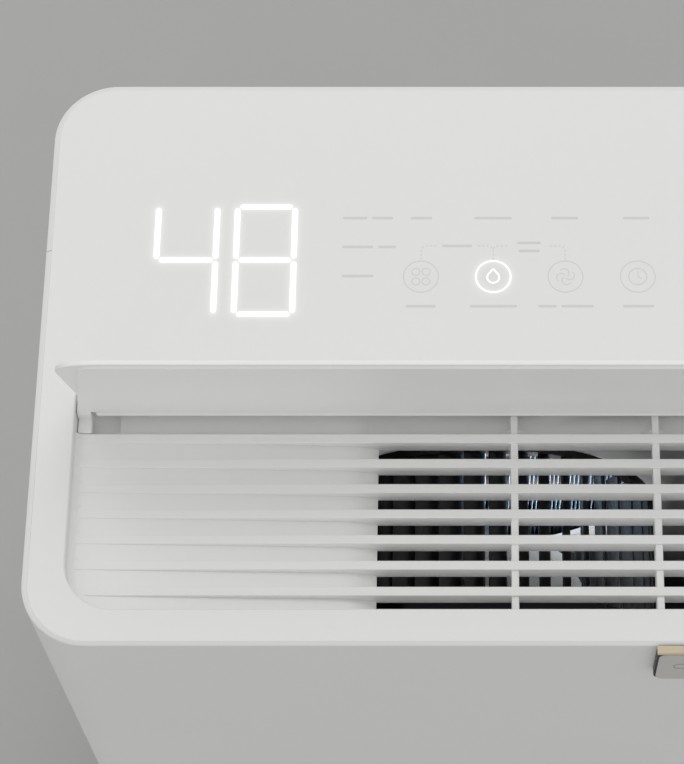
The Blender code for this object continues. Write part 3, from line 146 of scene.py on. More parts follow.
# Lit display and printed controls, X and distance back from the front face
DIGIT_CENTRES = (-0.1321, -0.0953)
DIGIT_MIDDLE = 0.1882
DIGIT_HALF_SPANS = (0.0138, 0.0135)
DIGIT_RISE = 0.0280
STROKE = 0.0026
BUTTON_FIRST = -0.0224
BUTTON_PITCH = 0.0336
BUTTON_BACK = 0.1796
BUTTON_RADIUS = 0.0081
LIT_BUTTON = 1
BADGE_CORNER = 0.0045
PRINT_HEIGHT = 0.00006
LIT_HEIGHT = 0.00008
MARK_GAP = 0.0022
GLOW_HALVING = 0.0009
GLOW_STRENGTH = 0.34
PRINT_LINE = 0.00042
CONNECTOR_BACK = 0.1956
CAPTION_REAR = 0.2103
CAPTION_FRONT = 0.1643
# Lengths of the bars above and below each control
CAPTIONS = (
    ((0.0103,), (0.0140,)),
    ((0.0177,), (0.0220,)),
    ((0.0126,), (0.0085, 0.0150)),
    ((0.0126,), (0.0145,)),
    ((), (0.0130,)),
)
SIDE_CAPTIONS = ((0.0115, 0.0100), (0.0145, 0.0085), (0.0149,))
SIDE_CAPTION_LEFT = -0.0593
SIDE_CAPTION_PITCH = 0.0152

# Bucket, rear and sides
POCKET_HALF = 0.060
POCKET_HEIGHT = 0.0155
COVER_THICKNESS = 0.0045
INTAKE_SLOTS = 9
INTAKE_COLUMNS = ((-0.124, -0.0445), (-0.0395, 0.0395), (0.0445, 0.124))
CAP_PROUD = 0.0045
GRIP_DEPTH = 0.0225
CASTER_CORNERS = ("front_left", "front_right", "rear_left", "rear_right")

# Fan, coils and pipes
FAN = Vector(JOINTS["fan_spin"]["pos_m"])
FAN_RADIUS = 0.082
FAN_WIDTH = 0.074
FAN_BLADES = 44
SCROLL_START = 128.0
SCROLL_NEAR = 0.0885
SCROLL_FAR = 0.158
COIL_PLATES = 128
COIL_PLATE_THICKNESS = 0.00022
# Name, node, start from the compressor's middle, level of the run, X, rise, coil, its level, radius
PIPES = (
    (
        "suction_line", "suction_pipe", (0.018, -0.012), 0.278, 0.166, 0.318,
        "evaporator_bends", 0.352, 0.0036,
    ),
    (
        "discharge_line", "discharge_pipe", (-0.012, 0.020), 0.276, 0.1755, 0.545,
        "condenser_bends", 0.545, 0.0030,
    ),
)
# Node that gets soft edges, its name, the width of the edges, finish
SOFT_PIECES = (
    ("drip_tray", "tray", 0.0005, "white"),
    ("inner_frame", "deck", 0.0004, "grey"),
    ("base_pan", "floor_pan", 0.0005, "grey"),
    ("electronics_box", "controls_case", 0.0005, "grey"),
    ("display_module", "display_block", 0.0003, "print"),
    ("humidity_sensor", "sensor_case", 0.0003, "white"),
    ("bucket_switch", "switch_case", 0.0003, "dark"),
    ("terminal_cover", "terminal_cap", 0.0006, "grey"),
    ("main_board", "power_board", 0.0002, "board"),
)

# Light, powers in watts
WORLD_STRENGTH = 0.66
OVERHEAD_POWER = 16.0
FRONT_POWER = 5.6
COIL_POWER = 0.10
WHEEL_POWER = 0.26
DUCT_POWER = 0.006
FLOOR_HALF = 60.0

# Camera: lens in millimetres and its sideways shift, the Y it is measured from, how far it
# stands in front of that and above the top, the scale of both, and its dip below level
CAMERA_LENS = 121.3
CAMERA_SHIFT = -0.1664
CAMERA_BASE = -0.141
CAMERA_BACK = 0.361
CAMERA_RISE = 1.082
CAMERA_REACH = 282 / 285
CAMERA_DIP = 65.73

# ---------------------------------------------------------------- materials


def give(tree, socket, value):
    """Link an input to an output socket, or set it to a value."""
    if isinstance(value, bpy.types.NodeSocket):
        tree.links.new(value, socket)
    else:
        socket.default_value = value


def feed(tree, receiver, **inputs):
    """Give a node its inputs by name, an underscore standing for a space."""
    for name, value in inputs.items():
        give(tree, receiver.inputs[name.replace("_", " ")], value)
    return receiver


def add_node(tree, kind, **inputs):
    return feed(tree, tree.nodes.new("ShaderNode" + kind), **inputs)


def new_material(name, roughness=0.5, metallic=0.0):
    made = bpy.data.materials.new(name)
    made.use_nodes = True
    tree = made.node_tree
    shader = feed(tree, tree.nodes["Principled BSDF"], Roughness=roughness, Metallic=metallic)
    return made, tree, shader


def object_point(tree):
    return tree.nodes.new("ShaderNodeTexCoord").outputs["Object"]


def noise(tree, point, scale, detail=3.0, roughness=0.5, stretch=None):
    if stretch:
        point = add_node(tree, "Mapping", Scale=stretch, Vector=point).outputs["Vector"]
    made = add_node(tree, "TexNoise", Scale=scale, Detail=detail, Roughness=roughness, Vector=point)
    return made.outputs["Fac"]


def ramp(tree, factor, stops):
    made = tree.nodes.new("ShaderNodeValToRGB")
    band = made.color_ramp
    while len(band.elements) < len(stops):
        band.elements.new(0.5)
    for element, (place, colour) in zip(band.elements, stops):
        element.position = place
        element.color = (*colour, 1.0)
    tree.links.new(factor, made.inputs["Fac"])
    return made.outputs["Color"]


def bump(tree, height, distance):
    return add_node(tree, "Bump", Distance=distance, Strength=1.0, Height=height).outputs["Normal"]


def shade(colour, factor):
    return tuple(min(1.0, channel * factor) for channel in colour)


def moulded(name, colour, roughness, grain=2600.0, depth=0.00002, spread=0.03, coat=0.0):
    """Moulded plastic: fine spark-eroded grain, slow drift in tone and uneven gloss."""
    made, tree, shader = new_material(name, roughness)
    point = object_point(tree)
    drift = noise(tree, point, 9.0, 2.0)
    tone = ramp(tree, drift, [(0.3, shade(colour, 1 - spread)), (0.7, shade(colour, 1 + spread))])
    patch = noise(tree, point, 240.0, 4.0)
    gloss = ramp(tree, patch, [(0.3, (roughness - 0.04,) * 3), (0.7, (roughness + 0.05,) * 3)])
    normal = bump(tree, noise(tree, point, grain, 2.0), depth)
    feed(tree, shader, Base_Color=tone, Roughness=gloss, Normal=normal, Coat_Weight=coat)
    feed(tree, shader, Coat_Roughness=0.25)
    return made


def metal(name, dark, light, roughness, stretch, scale=700.0, depth=0.00001):
    """Drawn or brushed metal, streaked along one axis, with duller patches."""
    made, tree, shader = new_material(name, roughness, 1.0)
    point = object_point(tree)
    streak = noise(tree, point, scale, 4.0, 0.6, stretch)
    tone = ramp(tree, streak, [(0.3, dark), (0.7, light)])
    patch = noise(tree, point, 35.0, 3.0)
    dull = ramp(tree, patch, [(0.35, (roughness,) * 3), (0.75, (roughness + 0.18,) * 3)])
    feed(tree, shader, Base_Color=tone, Roughness=dull, Normal=bump(tree, streak, depth))
    return made


def white_plastic(name="white_abs", level=0.84):
    return moulded(name, (level, level, level * 0.99), 0.44, spread=0.008)


def lit_areas():
    """Centre and half size of every straight stroke of the two digits that is lit."""
    strokes = []
    rise = DIGIT_RISE / 2 - STROKE / 4 - 0.0010
    middle = FRONT + DIGIT_MIDDLE
    for centre, span, lit in zip(DIGIT_CENTRES, DIGIT_HALF_SPANS, ("bcfg", "abcdefg")):
        reach = span - STROKE / 2 - 0.0009
        places = {
            "a": (centre, middle + DIGIT_RISE, reach, 0.0),
            "g": (centre, middle, reach, 0.0),
            "d": (centre, middle - DIGIT_RISE, reach, 0.0),
            "f": (centre - span, middle + DIGIT_RISE / 2, 0.0, rise),
            "b": (centre + span, middle + DIGIT_RISE / 2, 0.0, rise),
            "e": (centre - span, middle - DIGIT_RISE / 2, 0.0, rise),
            "c": (centre + span, middle - DIGIT_RISE / 2, 0.0, rise),
        }
        strokes += [places[letter] for letter in lit]
    return strokes


def vector_step(tree, operation, *values):
    made = tree.nodes.new("ShaderNodeVectorMath")
    made.operation = operation
    for socket, value in zip(made.inputs, values):
        give(tree, socket, value)
    return made.outputs["Value" if operation == "LENGTH" else "Vector"]


def number_step(tree, operation, *values):
    made = tree.nodes.new("ShaderNodeMath")
    made.operation = operation
    for socket, value in zip(made.inputs, values):
        give(tree, socket, value)
    return made.outputs["Value"]


def panel_plastic():
    """White plastic of the top, thin enough over the display for its light to spread in it."""
    made = white_plastic()
    made.name = "white_abs_over_display"
    tree = made.node_tree
    shader = tree.nodes["Principled BSDF"]
    point = object_point(tree)
    nearest = None
    for x, y, half_x, half_y in lit_areas():
        offset = vector_step(tree, "SUBTRACT", point, (x, y, TOP))
        folded = vector_step(tree, "ABSOLUTE", offset)
        outside = vector_step(tree, "SUBTRACT", folded, (half_x, half_y, 1.0))
        outside = vector_step(tree, "MAXIMUM", outside, (0.0, 0.0, 0.0))
        distance = vector_step(tree, "LENGTH", outside)
        nearest = distance if nearest is None else number_step(tree, "MINIMUM", nearest, distance)
    button = (BUTTON_FIRST + LIT_BUTTON * BUTTON_PITCH, FRONT + BUTTON_BACK, TOP)
    around = vector_step(tree, "LENGTH", vector_step(tree, "SUBTRACT", point, button))
    ring = number_step(tree, "ABSOLUTE", number_step(tree, "SUBTRACT", around, BUTTON_RADIUS))
    ring = number_step(tree, "ADD", ring, 0.0012)
    nearest = number_step(tree, "MINIMUM", nearest, ring)
    fall = number_step(tree, "POWER", 0.5, number_step(tree, "DIVIDE", nearest, GLOW_HALVING))
    strength = number_step(tree, "MULTIPLY", fall, GLOW_STRENGTH)
    feed(tree, shader, Emission_Color=(1.0, 0.96, 0.86, 1.0), Emission_Strength=strength)
    return made


def glowing(name, colour, strength):
    made, tree, shader = new_material(name, 0.5)
    drift = noise(tree, object_point(tree), 400.0)
    tone = ramp(tree, drift, [(0.3, shade(colour, 0.96)), (0.7, colour)])
    feed(tree, shader, Base_Color=tone, Emission_Color=tone, Emission_Strength=strength)
    return made


def clear_plastic():
    """Smoky translucent plastic of the bucket, a little cloudy."""
    made = moulded("smoky_clear", (0.52, 0.56, 0.60), 0.22, 900.0, 0.00001, 0.05, 0.3)
    tree = made.node_tree
    feed(tree, tree.nodes["Principled BSDF"], Transmission_Weight=0.55, IOR=1.49)
    return made


def woven_mesh():
    """Fine square weave of the filter, cut through by holes in its bump and tone; the near black in the
    holes is painted shade of the dark inside seen through them.
    """
    made, tree, shader = new_material("nylon_weave", 0.8)
    point = object_point(tree)
    threads = []
    for direction in ("X", "Z"):
        wave = add_node(tree, "TexWave", Scale=260.0, Distortion=0.4, Vector=point)
        wave.bands_direction = direction
        threads.append(wave.outputs["Fac"])
    cross = number_step(tree, "MAXIMUM", threads[0], threads[1])
    # Near black between the threads: painted shade seen through the holes
    tone = ramp(tree, cross, [(0.35, (0.004, 0.004, 0.005)), (0.8, (0.075, 0.08, 0.085))])
    feed(tree, shader, Base_Color=tone, Normal=bump(tree, cross, 0.0002))
    return made


def circuit_green():
    made, tree, shader = new_material("solder_mask", 0.35)
    tracks = add_node(
        tree, "TexBrick", Vector=object_point(tree), Scale=60.0, Mortar_Size=0.03,
        Color1=(0.018, 0.085, 0.04, 1.0), Color2=(0.022, 0.10, 0.05, 1.0),
        Mortar=(0.05, 0.17, 0.08, 1.0),
    )
    normal = bump(tree, tracks.outputs["Fac"], 0.00005)
    feed(tree, shader, Base_Color=tracks.outputs["Color"], Normal=normal)
    return made


COPPER_DARK = (0.42, 0.16, 0.075)
COPPER_LIGHT = (0.50, 0.29, 0.20)
MATERIALS = {
    "white": white_plastic(),
    # The louvre and the lid are the casing's white ABS made lighter: painted light that lifts them out of
    # the shade in the outlet and under the open flap
    "louvre": white_plastic("white_abs_louvre_lightened_against_shade", 0.89),
    "lid": white_plastic("white_abs_lid_lightened_against_shade", 0.94),
    "panel": panel_plastic(),
    "print": moulded("printed_grey", (0.705, 0.705, 0.695), 0.5, spread=0.02),
    "digit": glowing("lit_segment", (1.0, 0.985, 0.94), 0.62),
    "grey": moulded("grey_abs", (0.34, 0.345, 0.35), 0.5, spread=0.04),
    "pale": moulded("pale_grey_abs", (0.52, 0.525, 0.525), 0.55, spread=0.03),
    "dark": moulded("black_abs", (0.010, 0.010, 0.011), 0.42, spread=0.15),
    "rubber": moulded("black_rubber", (0.016, 0.016, 0.017), 0.75, 1400.0, 0.00004, 0.15),
    "foam": moulded("closed_cell_foam", (0.78, 0.77, 0.73), 0.85, 900.0, 0.00025, 0.04),
    "clear": clear_plastic(),
    "weave": woven_mesh(),
    "board": circuit_green(),
    "copper": metal("drawn_copper", COPPER_DARK, COPPER_LIGHT, 0.30, (1.0, 1.0, 6.0)),
    # Copper of the coil tubes, darker and duller than the drawn copper of the bends and pipes
    "dull_copper": moulded("darker_duller_copper", (0.34, 0.20, 0.13), 0.55, 700.0, 0.00002, 0.15),
    "steel": metal("turned_steel", (0.34, 0.34, 0.35), (0.62, 0.62, 0.63), 0.30, (1.0, 9.0, 1.0)),
    "zinc": metal("bright_zinc", (0.46, 0.47, 0.50), (0.70, 0.71, 0.74), 0.34, (1.0, 1.0, 3.0)),
    # Satin grey for the badge's front: painted reflection of its champagne metal, not a paint of its own
    "satin": moulded("badge_metal_front_painted_reflection", (0.58, 0.57, 0.545), 0.42, 3200.0, 0.00001, 0.02),
    "gold": metal("champagne_satin", (0.50, 0.43, 0.32), (0.59, 0.51, 0.395), 0.36, (0.1, 8.0, 8.0)),
    "fins": metal("bare_fin", (0.50, 0.52, 0.54), (0.74, 0.76, 0.78), 0.35, (9.0, 1.0, 0.3)),
    "coated": moulded("blue_coated_fin", (0.48, 0.66, 0.80), 0.5, 900.0, 0.00001, 0.06),
    "enamel": moulded("black_enamel", (0.012, 0.012, 0.013), 0.33, 420.0, 0.00006, 0.2, 0.4),
    "can": metal("drawn_can", (0.50, 0.50, 0.52), (0.70, 0.70, 0.72), 0.28, (1.0, 1.0, 0.1)),
}
SLOT_FINISH = {
    "white_plastic": "white",
    "grey_plastic": "grey",
    "dark_plastic": "dark",
    "badge_metal": "gold",
    "circuit_board": "board",
    "display_white": "print",
    "steel": "steel",
    "coated_fins": "coated",
    "bare_fins": "fins",
    "copper": "copper",
    "black_paint": "enamel",
    "rubber": "rubber",
    "aluminium_can": "can",
    "clear_grey_plastic": "clear",
    "float_foam": "foam",
    "filter_fabric": "weave",
}
SLOT_OF_FINISH = {finish: slot for slot, finish in SLOT_FINISH.items()}
SLOT_OF_FINISH.update(
    panel="white_plastic",
    louvre="white_plastic",
    lid="white_plastic",
    digit="display_white",
    pale="grey_plastic",
    zinc="steel",
    satin="badge_metal",
    dull_copper="copper",
)

# ---------------------------------------------------------------- shape helpers


def arc(centre_u, centre_v, radius, start, end, steps):
    """Points of an arc in a plane, angles in degrees."""
    points = []
    for step in range(steps + 1):
        angle = math.radians(start + (end - start) * step / steps)
        points.append((centre_u + radius * math.cos(angle), centre_v + radius * math.sin(angle)))
    return points


def circle(centre_u, centre_v, radius, steps):
    """Points round a circle, the first not repeated at the end."""
    return arc(centre_u, centre_v, radius, 0, 360 - 360 / steps, steps - 1)


def rounded(low_u, low_v, high_u, high_v, radii, steps=ROUND_STEPS):
    """Rectangle with corner radii given as low-left, low-right, high-right, high-left."""
    a, b, c, d = radii
    points = arc(low_u + a, low_v + a, a, 180, 270, steps)
    points += arc(high_u - b, low_v + b, b, 270, 360, steps)
    points += arc(high_u - c, high_v - c, c, 0, 90, steps)
    points += arc(low_u + d, high_v - d, d, 90, 180, steps)
    return points


def body_outline(inset, share=0.0):
    """Shell outline; share 0 is the wall and 1 is the edge of the flat top inside the rim."""
    half = HALF_WIDTH - share * RIM_SIDE - inset
    low = FRONT + share * RIM_FRONT + inset
    high = REAR - share * RIM_REAR - inset
    return rounded(-half, low, half, high, [CORNER - share * RIM_SIDE - inset] * 4)


def outlet_outline(inset):
    corner = OUTLET_CORNER - inset
    rear_corner = 0.006 - min(inset, 0.004)
    return rounded(
        -OUTLET_HALF + inset,
        FRONT + OUTLET_FRONT + inset,
        OUTLET_HALF - inset,
        FRONT + OUTLET_REAR - inset,
        (corner, corner, rear_corner, rear_corner),
    )


def middle_of(node):
    low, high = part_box(node)
    return (low + high) / 2


def finish_shape(shape):
    bmesh.ops.remove_doubles(shape, verts=shape.verts, dist=1e-6)
    bmesh.ops.recalc_face_normals(shape, faces=shape.faces)
    mesh = bpy.data.meshes.new("shape")
    shape.to_mesh(mesh)
    shape.free()
    return mesh


def fill_rings(shape, rings):
    """Flat face with holes between rings of vertices that lie in one plane."""
    edges = []
    for ring in rings:
        for first, second in zip(ring, ring[1:] + ring[:1]):
            edges.append(shape.edges.get((first, second)) or shape.edges.new((first, second)))
    bmesh.ops.triangle_fill(shape, use_beauty=True, use_dissolve=False, edges=edges)


def skin(shape, rows, around):
    """Quads between rows of vertices, closing each row round when around is set."""
    for lower, upper in zip(rows, rows[1:]):
        count = len(lower)
        for index in range(count if around else count - 1):
            after = (index + 1) % count
            shape.faces.new((lower[index], lower[after], upper[after], upper[index]))


def swept(rows, closed_path):
    """A solid whose section is the column through its rows, swept along the rows."""
    shape = bmesh.new()
    made = [[shape.verts.new(point) for point in row] for row in rows]
    skin(shape, made + made[:1], closed_path)
    if not closed_path:
        shape.faces.new([row[0] for row in made])
        shape.faces.new([row[-1] for row in made])
    return finish_shape(shape)


def placed(name, data):
    obj = bpy.data.objects.new(name, data)
    bpy.context.scene.collection.objects.link(obj)
    return obj


def stand(name, mesh, finish, body, nodes=(), smooth=35.0):
    """Put a mesh in the scene as a piece that rides on a body."""
    mesh.name = name
    obj = placed(name, mesh)
    mesh.materials.clear()
    mesh.materials.append(MATERIALS[finish])
    mesh.shade_smooth()
    mesh.set_sharp_from_angle(angle=math.radians(smooth))
    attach(obj, body)
    if nodes:
        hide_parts(*nodes)
    return obj


AXIS_TURN = {
    "X": Matrix.Rotation(math.radians(90), 4, "Y"),
    "Y": Matrix.Rotation(math.radians(-90), 4, "X"),
    "Z": Matrix.Identity(4),
}
PLANE_TURN = {
    "Z": Matrix.Identity(4),
    "Y": Matrix(((1, 0, 0, 0), (0, 0, 1, 0), (0, 1, 0, 0), (0, 0, 0, 1))),
    "X": Matrix(((0, 0, 1, 0), (1, 0, 0, 0), (0, 1, 0, 0), (0, 0, 0, 1))),
}


def inset_outline(outline, inset):
    """Move a closed outline inwards, or outwards for a negative inset."""
    points = [Vector(point) for point in outline]
    befores = points[-1:] + points[:-1]
    afters = points[1:] + points[:1]
    turn = sum(here.cross(after) for here, after in zip(points, afters))
    side = 1 if turn > 0 else -1
    moved = []
    for before, here, after in zip(befores, points, afters):
        first = (here - before).normalized()
        second = (after - here).normalized()
        normal = Vector((-first.y - second.y, first.x + second.x)).normalized() * side
        lean = max(0.35, normal.dot(Vector((-first.y, first.x)) * side))
        moved.append(tuple(here + normal * inset / lean))
    return moved


def edge_levels(low, high, edge, segments):
    """(height, inset) of the rows of a prism from the bottom up, with a quarter round at each rim."""
    if not edge:
        return [(low, 0.0), (high, 0.0)]
    turns = [math.pi / 2 * step / segments for step in range(segments + 1)]
    below = [(low + edge * (1 - math.cos(t)), edge * (1 - math.sin(t))) for t in turns]
    above = [(high - edge * (1 - math.cos(t)), edge * (1 - math.sin(t))) for t in reversed(turns)]
    return below + above


def without_repeats(outline):
    kept = []
    for point in outline:
        if not kept or math.dist(point, kept[-1]) > 1e-6:
            kept.append(point)
    if math.dist(kept[0], kept[-1]) < 1e-6:
        kept.pop()
    return kept


def strip_outline(route, half_widths):
    """Closed outline round an open route of points, with half its width at each of them."""
    points = [Vector(point) for point in route]
    left = []
    right = []
    for index, (point, half) in enumerate(zip(points, half_widths)):
        before = points[max(0, index - 1)]
        after = points[min(len(points) - 1, index + 1)]
        along = (after - before).normalized()
        across = Vector((-along.y, along.x)) * half
        left.append(tuple(point + across))
        right.append(tuple(point - across))
    return left + right[::-1]


def prism(outlines, low, high, axis="Z", edge=0.0, segments=3):
    """Outline with any holes, given thickness along an axis, its rims rounded by edge."""
    shape = bmesh.new()
    bottoms = []
    tops = []
    for number, outline in enumerate(outlines):
        outline = without_repeats(outline)
        rows = []
        for height, inset in edge_levels(low, high, edge, segments):
            ring = inset_outline(outline, -inset if number else inset)
            rows.append([shape.verts.new((u, v, height)) for u, v in ring])
        skin(shape, rows, True)
        bottoms.append(rows[0])
        tops.append(rows[-1])
    fill_rings(shape, bottoms)
    fill_rings(shape, tops)
    bmesh.ops.transform(shape, matrix=PLANE_TURN[axis], verts=shape.verts)
    return finish_shape(shape)


def block(low, high, edge=0.0, segments=2):
    """A box with rounded edges."""
    low = Vector(low)
    high = Vector(high)
    shape = bmesh.new()
    bmesh.ops.create_cube(shape, size=1.0, matrix=Matrix.Diagonal((*(high - low), 1.0)))
    bmesh.ops.translate(shape, verts=shape.verts, vec=(low + high) / 2)
    if edge:
        bmesh.ops.bevel(
            shape, geom=shape.edges[:], offset=edge, segments=segments, profile=0.5, affect="EDGES"
        )
    return finish_shape(shape)


def turned(profile, place, axis="Z", steps=48):
    """A profile of (radius, height) points, from the top down, turned about an axis."""
    shape = bmesh.new()
    rows = []
    for radius, height in profile:
        ring = []
        for step in range(steps):
            angle = 2 * math.pi * step / steps
            ring.append(shape.verts.new((radius * math.cos(angle), radius * math.sin(angle), height)))
        rows.append(ring)
    skin(shape, rows, True)
    if math.dist(profile[0], profile[-1]) > 1e-6:
        for row in (rows[0], rows[-1]):
            if (row[0].co.xy).length > 1e-6:
                shape.faces.new(row)
    bmesh.ops.transform(shape, matrix=Matrix.Translation(place) @ AXIS_TURN[axis], verts=shape.verts)
    return finish_shape(shape)


def round_corner(before, corner, after, radius, steps, most=0.45):
    """Points that round a corner, starting no further from it than a share of either side."""
    reach = min(radius, (before - corner).length * most, (after - corner).length * most)
    inward = (before - corner).normalized() * reach
    outward = (after - corner).normalized() * reach
    turns = [step / steps for step in range(steps + 1)]
    return [tuple(corner + inward * (1 - t) ** 2 + outward * t**2) for t in turns]


def soft_profile(points, radius, steps=3, most=0.45):
    """Round the inner corners of an open row of points, in a plane or in space."""
    corners = [Vector(point) for point in points]
    route = [tuple(corners[0])]
    for before, corner, after in zip(corners, corners[1:], corners[2:]):
        route += round_corner(before, corner, after, radius, steps, most)
    route.append(tuple(corners[-1]))
    return route


def softened(outline, radius, steps=4):
    """Closed outline with its corners rounded."""
    points = [Vector(point) for point in outline]
    result = []
    for before, corner, after in zip(points[-1:] + points[:-1], points, points[1:] + points[:1]):
        result += round_corner(before, corner, after, radius, steps)
    return result


def tube(route, radius, sides=12, cyclic=False):
    """A round wire or pipe along a route of points."""
    curve = bpy.data.curves.new("route", "CURVE")
    curve.dimensions = "3D"
    curve.bevel_depth = radius
    curve.bevel_resolution = sides // 2 - 2
    curve.use_fill_caps = True
    spline = curve.splines.new("POLY")
    spline.points.add(len(route) - 1)
    for point, place in zip(spline.points, route):
        point.co = (*place, 1.0)
    spline.use_cyclic_u = cyclic
    holder = bpy.data.objects.new("route", curve)
    return evaluated(holder, [holder])


def evaluated(obj, holders):
    """The mesh that an object's modifiers give, with the helpers that made it removed."""
    for holder in holders:
        bpy.context.scene.collection.objects.link(holder)
    bpy.context.view_layer.update()
    graph = bpy.context.evaluated_depsgraph_get()
    mesh = bpy.data.meshes.new_from_object(obj.evaluated_get(graph))
    for holder in holders:
        bpy.data.objects.remove(holder, do_unlink=True)
    shape = bmesh.new()
    shape.from_mesh(mesh)
    return finish_shape(shape)


def combined(base, tools, operation):
    holders = [bpy.data.objects.new("holder", mesh) for mesh in (base, *tools)]
    for holder in holders[1:]:
        change = holders[0].modifiers.new("join", "BOOLEAN")
        change.operation = operation
        change.solver = "EXACT"
        change.object = holder
    return evaluated(holders[0], holders)


def cut(base, *tools):
    return combined(base, tools, "DIFFERENCE")


def join(base, *tools):
    return combined(base, tools, "UNION")


def gathered(meshes):
    """One mesh that holds several, left as separate bodies."""
    shape = bmesh.new()
    for mesh in meshes:
        shape.from_mesh(mesh)
    return finish_shape(shape)


def round_edges(mesh, width, segments, chosen, clamp=False):
    """Round the edges of a mesh that pass a test, once its flat faces are whole."""
    shape = bmesh.new()
    shape.from_mesh(mesh)
    bmesh.ops.dissolve_limit(
        shape, angle_limit=math.radians(0.5), verts=shape.verts, edges=shape.edges
    )
    edges = [edge for edge in shape.edges if chosen(edge)]
    bmesh.ops.bevel(
        shape, geom=edges, offset=width, segments=segments, profile=0.5, affect="EDGES",
        clamp_overlap=clamp,
    )
    return finish_shape(shape)


def soften(mesh, width, segments=2, where=None):
    """Round the sharp edges of a mesh, or those of them whose middle passes a test."""

    def chosen(edge):
        if len(edge.link_faces) != 2 or edge.calc_face_angle(0.0) < math.radians(SHARP_ANGLE):
            return False
        return where is None or where((edge.verts[0].co + edge.verts[1].co) / 2)

    return round_edges(mesh, width, segments, chosen, True)


def weighted(obj):
    """Shade broad faces flat and let only the rounded edges turn."""
    change = obj.modifiers.new("weighted", "WEIGHTED_NORMAL")
    change.keep_sharp = True
    change.weight = 80
    return obj


# ---------------------------------------------------------------- casings and top


def wall_rows(path):
    """Section of the shell wall, from its outer foot up, over the sloping rim and down inside."""
    foot = 0.0008
    stations = [(foot * (1 - math.sin(t)), 0.0, BOTTOM + foot * (1 - math.cos(t)))
                for t in (0.0, 0.5, 1.0, math.pi / 2)]
    brow = TOP - RIM_DROP
    for step in range(4):
        t = step / 3
        share = 0.22 * t * t
        stations.append((0.0, share, brow - 0.0006 * (1 - t) ** 2 + RIM_DROP * share))
    for step in range(4):
        t = step / 3
        share = 0.90 + 0.10 * (1 - (1 - t) ** 2)
        stations.append((RIM_LIP * 0.5 * t * t, share, TOP - RIM_DROP * 0.10 * (1 - t) ** 2))
    stations.append((RIM_LIP * 0.9, 1.0, TOP - 0.00004))
    stations.append((RIM_LIP, 1.0, TOP - 0.0002))
    stations.append((RIM_LIP, 1.0, BOTTOM))
    return [[(x, y, z) for x, y in path(body_outline(inset, share))] for inset, share, z in stations]


def front_path(outline):
    half = 2 * ROUND_STEPS + 2
    return [(outline[0][0], SEAM), *outline[:half], (outline[half - 1][0], SEAM)]


def rear_path(outline):
    half = 2 * ROUND_STEPS + 2
    seam = SEAM + SMALL_GAP
    return [(outline[half][0], seam), *outline[half:], (outline[-1][0], seam)]


def grip_outline(margin):
    low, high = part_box("grip_left")
    return rounded(
        low.y - margin, low.z - margin, high.y + margin, high.z + margin, [0.012 + margin] * 4, 12
    )


def make_front_casing():
    cover_low, cover_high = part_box("bucket_front")
    wall = swept(wall_rows(front_path), False)
    mouth = block(
        (cover_low.x - SMALL_GAP, FRONT - 0.01, cover_low.z - SMALL_GAP),
        (cover_high.x + SMALL_GAP, FRONT + 0.01, cover_high.z + SMALL_GAP),
    )
    tools = [mouth]
    for side in (-1, 1):
        low, high = sorted((side * (HALF_WIDTH - 0.01), side * (HALF_WIDTH + 0.01)))
        tools.append(prism([grip_outline(SMALL_GAP)], low, high, "X"))
    wall = cut(wall, *tools)

    def at_an_opening(point):
        at_mouth = abs(point.y - FRONT) < 1e-5 and abs(point.x) < cover_high.x + 0.002
        at_grip = abs(abs(point.x) - HALF_WIDTH) < 1e-5 and point.z > 0.40 and point.z < TOP - 0.02
        return (at_mouth and cover_low.z - 0.002 < point.z < cover_high.z + 0.002) or (
            at_grip and point.y < SEAM - 0.002
        )

    wall = soften(wall, 0.0005, 3, at_an_opening)
    weighted(stand("front_shell", wall, "white", "cabinet", ["front_casing"]))


def make_rear_casing():
    wall = swept(wall_rows(rear_path), False)
    low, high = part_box("filter_frame")
    intake = block(
        (low.x - SMALL_GAP, REAR - 0.01, low.z - SMALL_GAP),
        (high.x + SMALL_GAP, REAR + 0.01, high.z + SMALL_GAP),
    )
    tools = [intake]
    for node, radius in (("drain_port", 0.0108), ("cord_inlet", 0.0093)):
        middle = middle_of(node)
        outline = circle(middle.x, middle.z, radius, 48)
        tools.append(prism([outline], REAR - 0.01, REAR + 0.01, "Y"))
    wall = cut(wall, *tools)

    def at_an_opening(point):
        return abs(point.y - REAR) < 1e-5 and BOTTOM + 0.01 < point.z < TOP - 0.02

    wall = soften(wall, 0.0005, 3, at_an_opening)
    weighted(stand("rear_shell", wall, "white", "cabinet", ["rear_casing"]))


def make_top_panel():
    """Flat top: its edge inside the rim, the rounded mouth of the outlet and the skirt below."""
    inset = RIM_LIP + PANEL_GAP
    underside = PANEL_LOW.z + SKIRT_DEPTH - 0.003
    shape = bmesh.new()

    def ring(outline, height):
        return [shape.verts.new((x, y, height)) for x, y in outline]

    outer = [
        ring(body_outline(inset, 1.0), underside),
        ring(body_outline(inset, 1.0), TOP),
    ]
    mouth = []
    for step in range(5):
        turn = math.pi / 2 * step / 4
        spread = OUTLET_EDGE * (1 - math.sin(turn))
        mouth.append(ring(outlet_outline(-spread), TOP - OUTLET_EDGE * (1 - math.cos(turn))))
    mouth.append(ring(outlet_outline(0.0), TOP - SKIRT_DEPTH))
    mouth.append(ring(outlet_outline(-SKIRT_WALL), TOP - SKIRT_DEPTH))
    mouth.append(ring(outlet_outline(-SKIRT_WALL), underside))
    skin(shape, outer, True)
    skin(shape, mouth, True)
    fill_rings(shape, [outer[-1], mouth[0]])
    fill_rings(shape, [outer[0], mouth[-1]])
    panel = stand("control_deck", finish_shape(shape), "panel", "cabinet", ["top_panel"])
    weighted(panel)


# ---------------------------------------------------------------- outlet grille


def fin_centre(index):
    return FRONT + REAR_FIN_CENTRE - index * FIN_PITCH


def ridged(low, high, edge, steps=3):
    """Section between two corners of a plane, its two upper corners rounded."""
    section = [low, (high[0], low[1])]
    section += arc(high[0] - edge, high[1] - edge, edge, 0, 90, steps)
    section += arc(low[0] + edge, high[1] - edge, edge, 90, 180, steps)
    return section


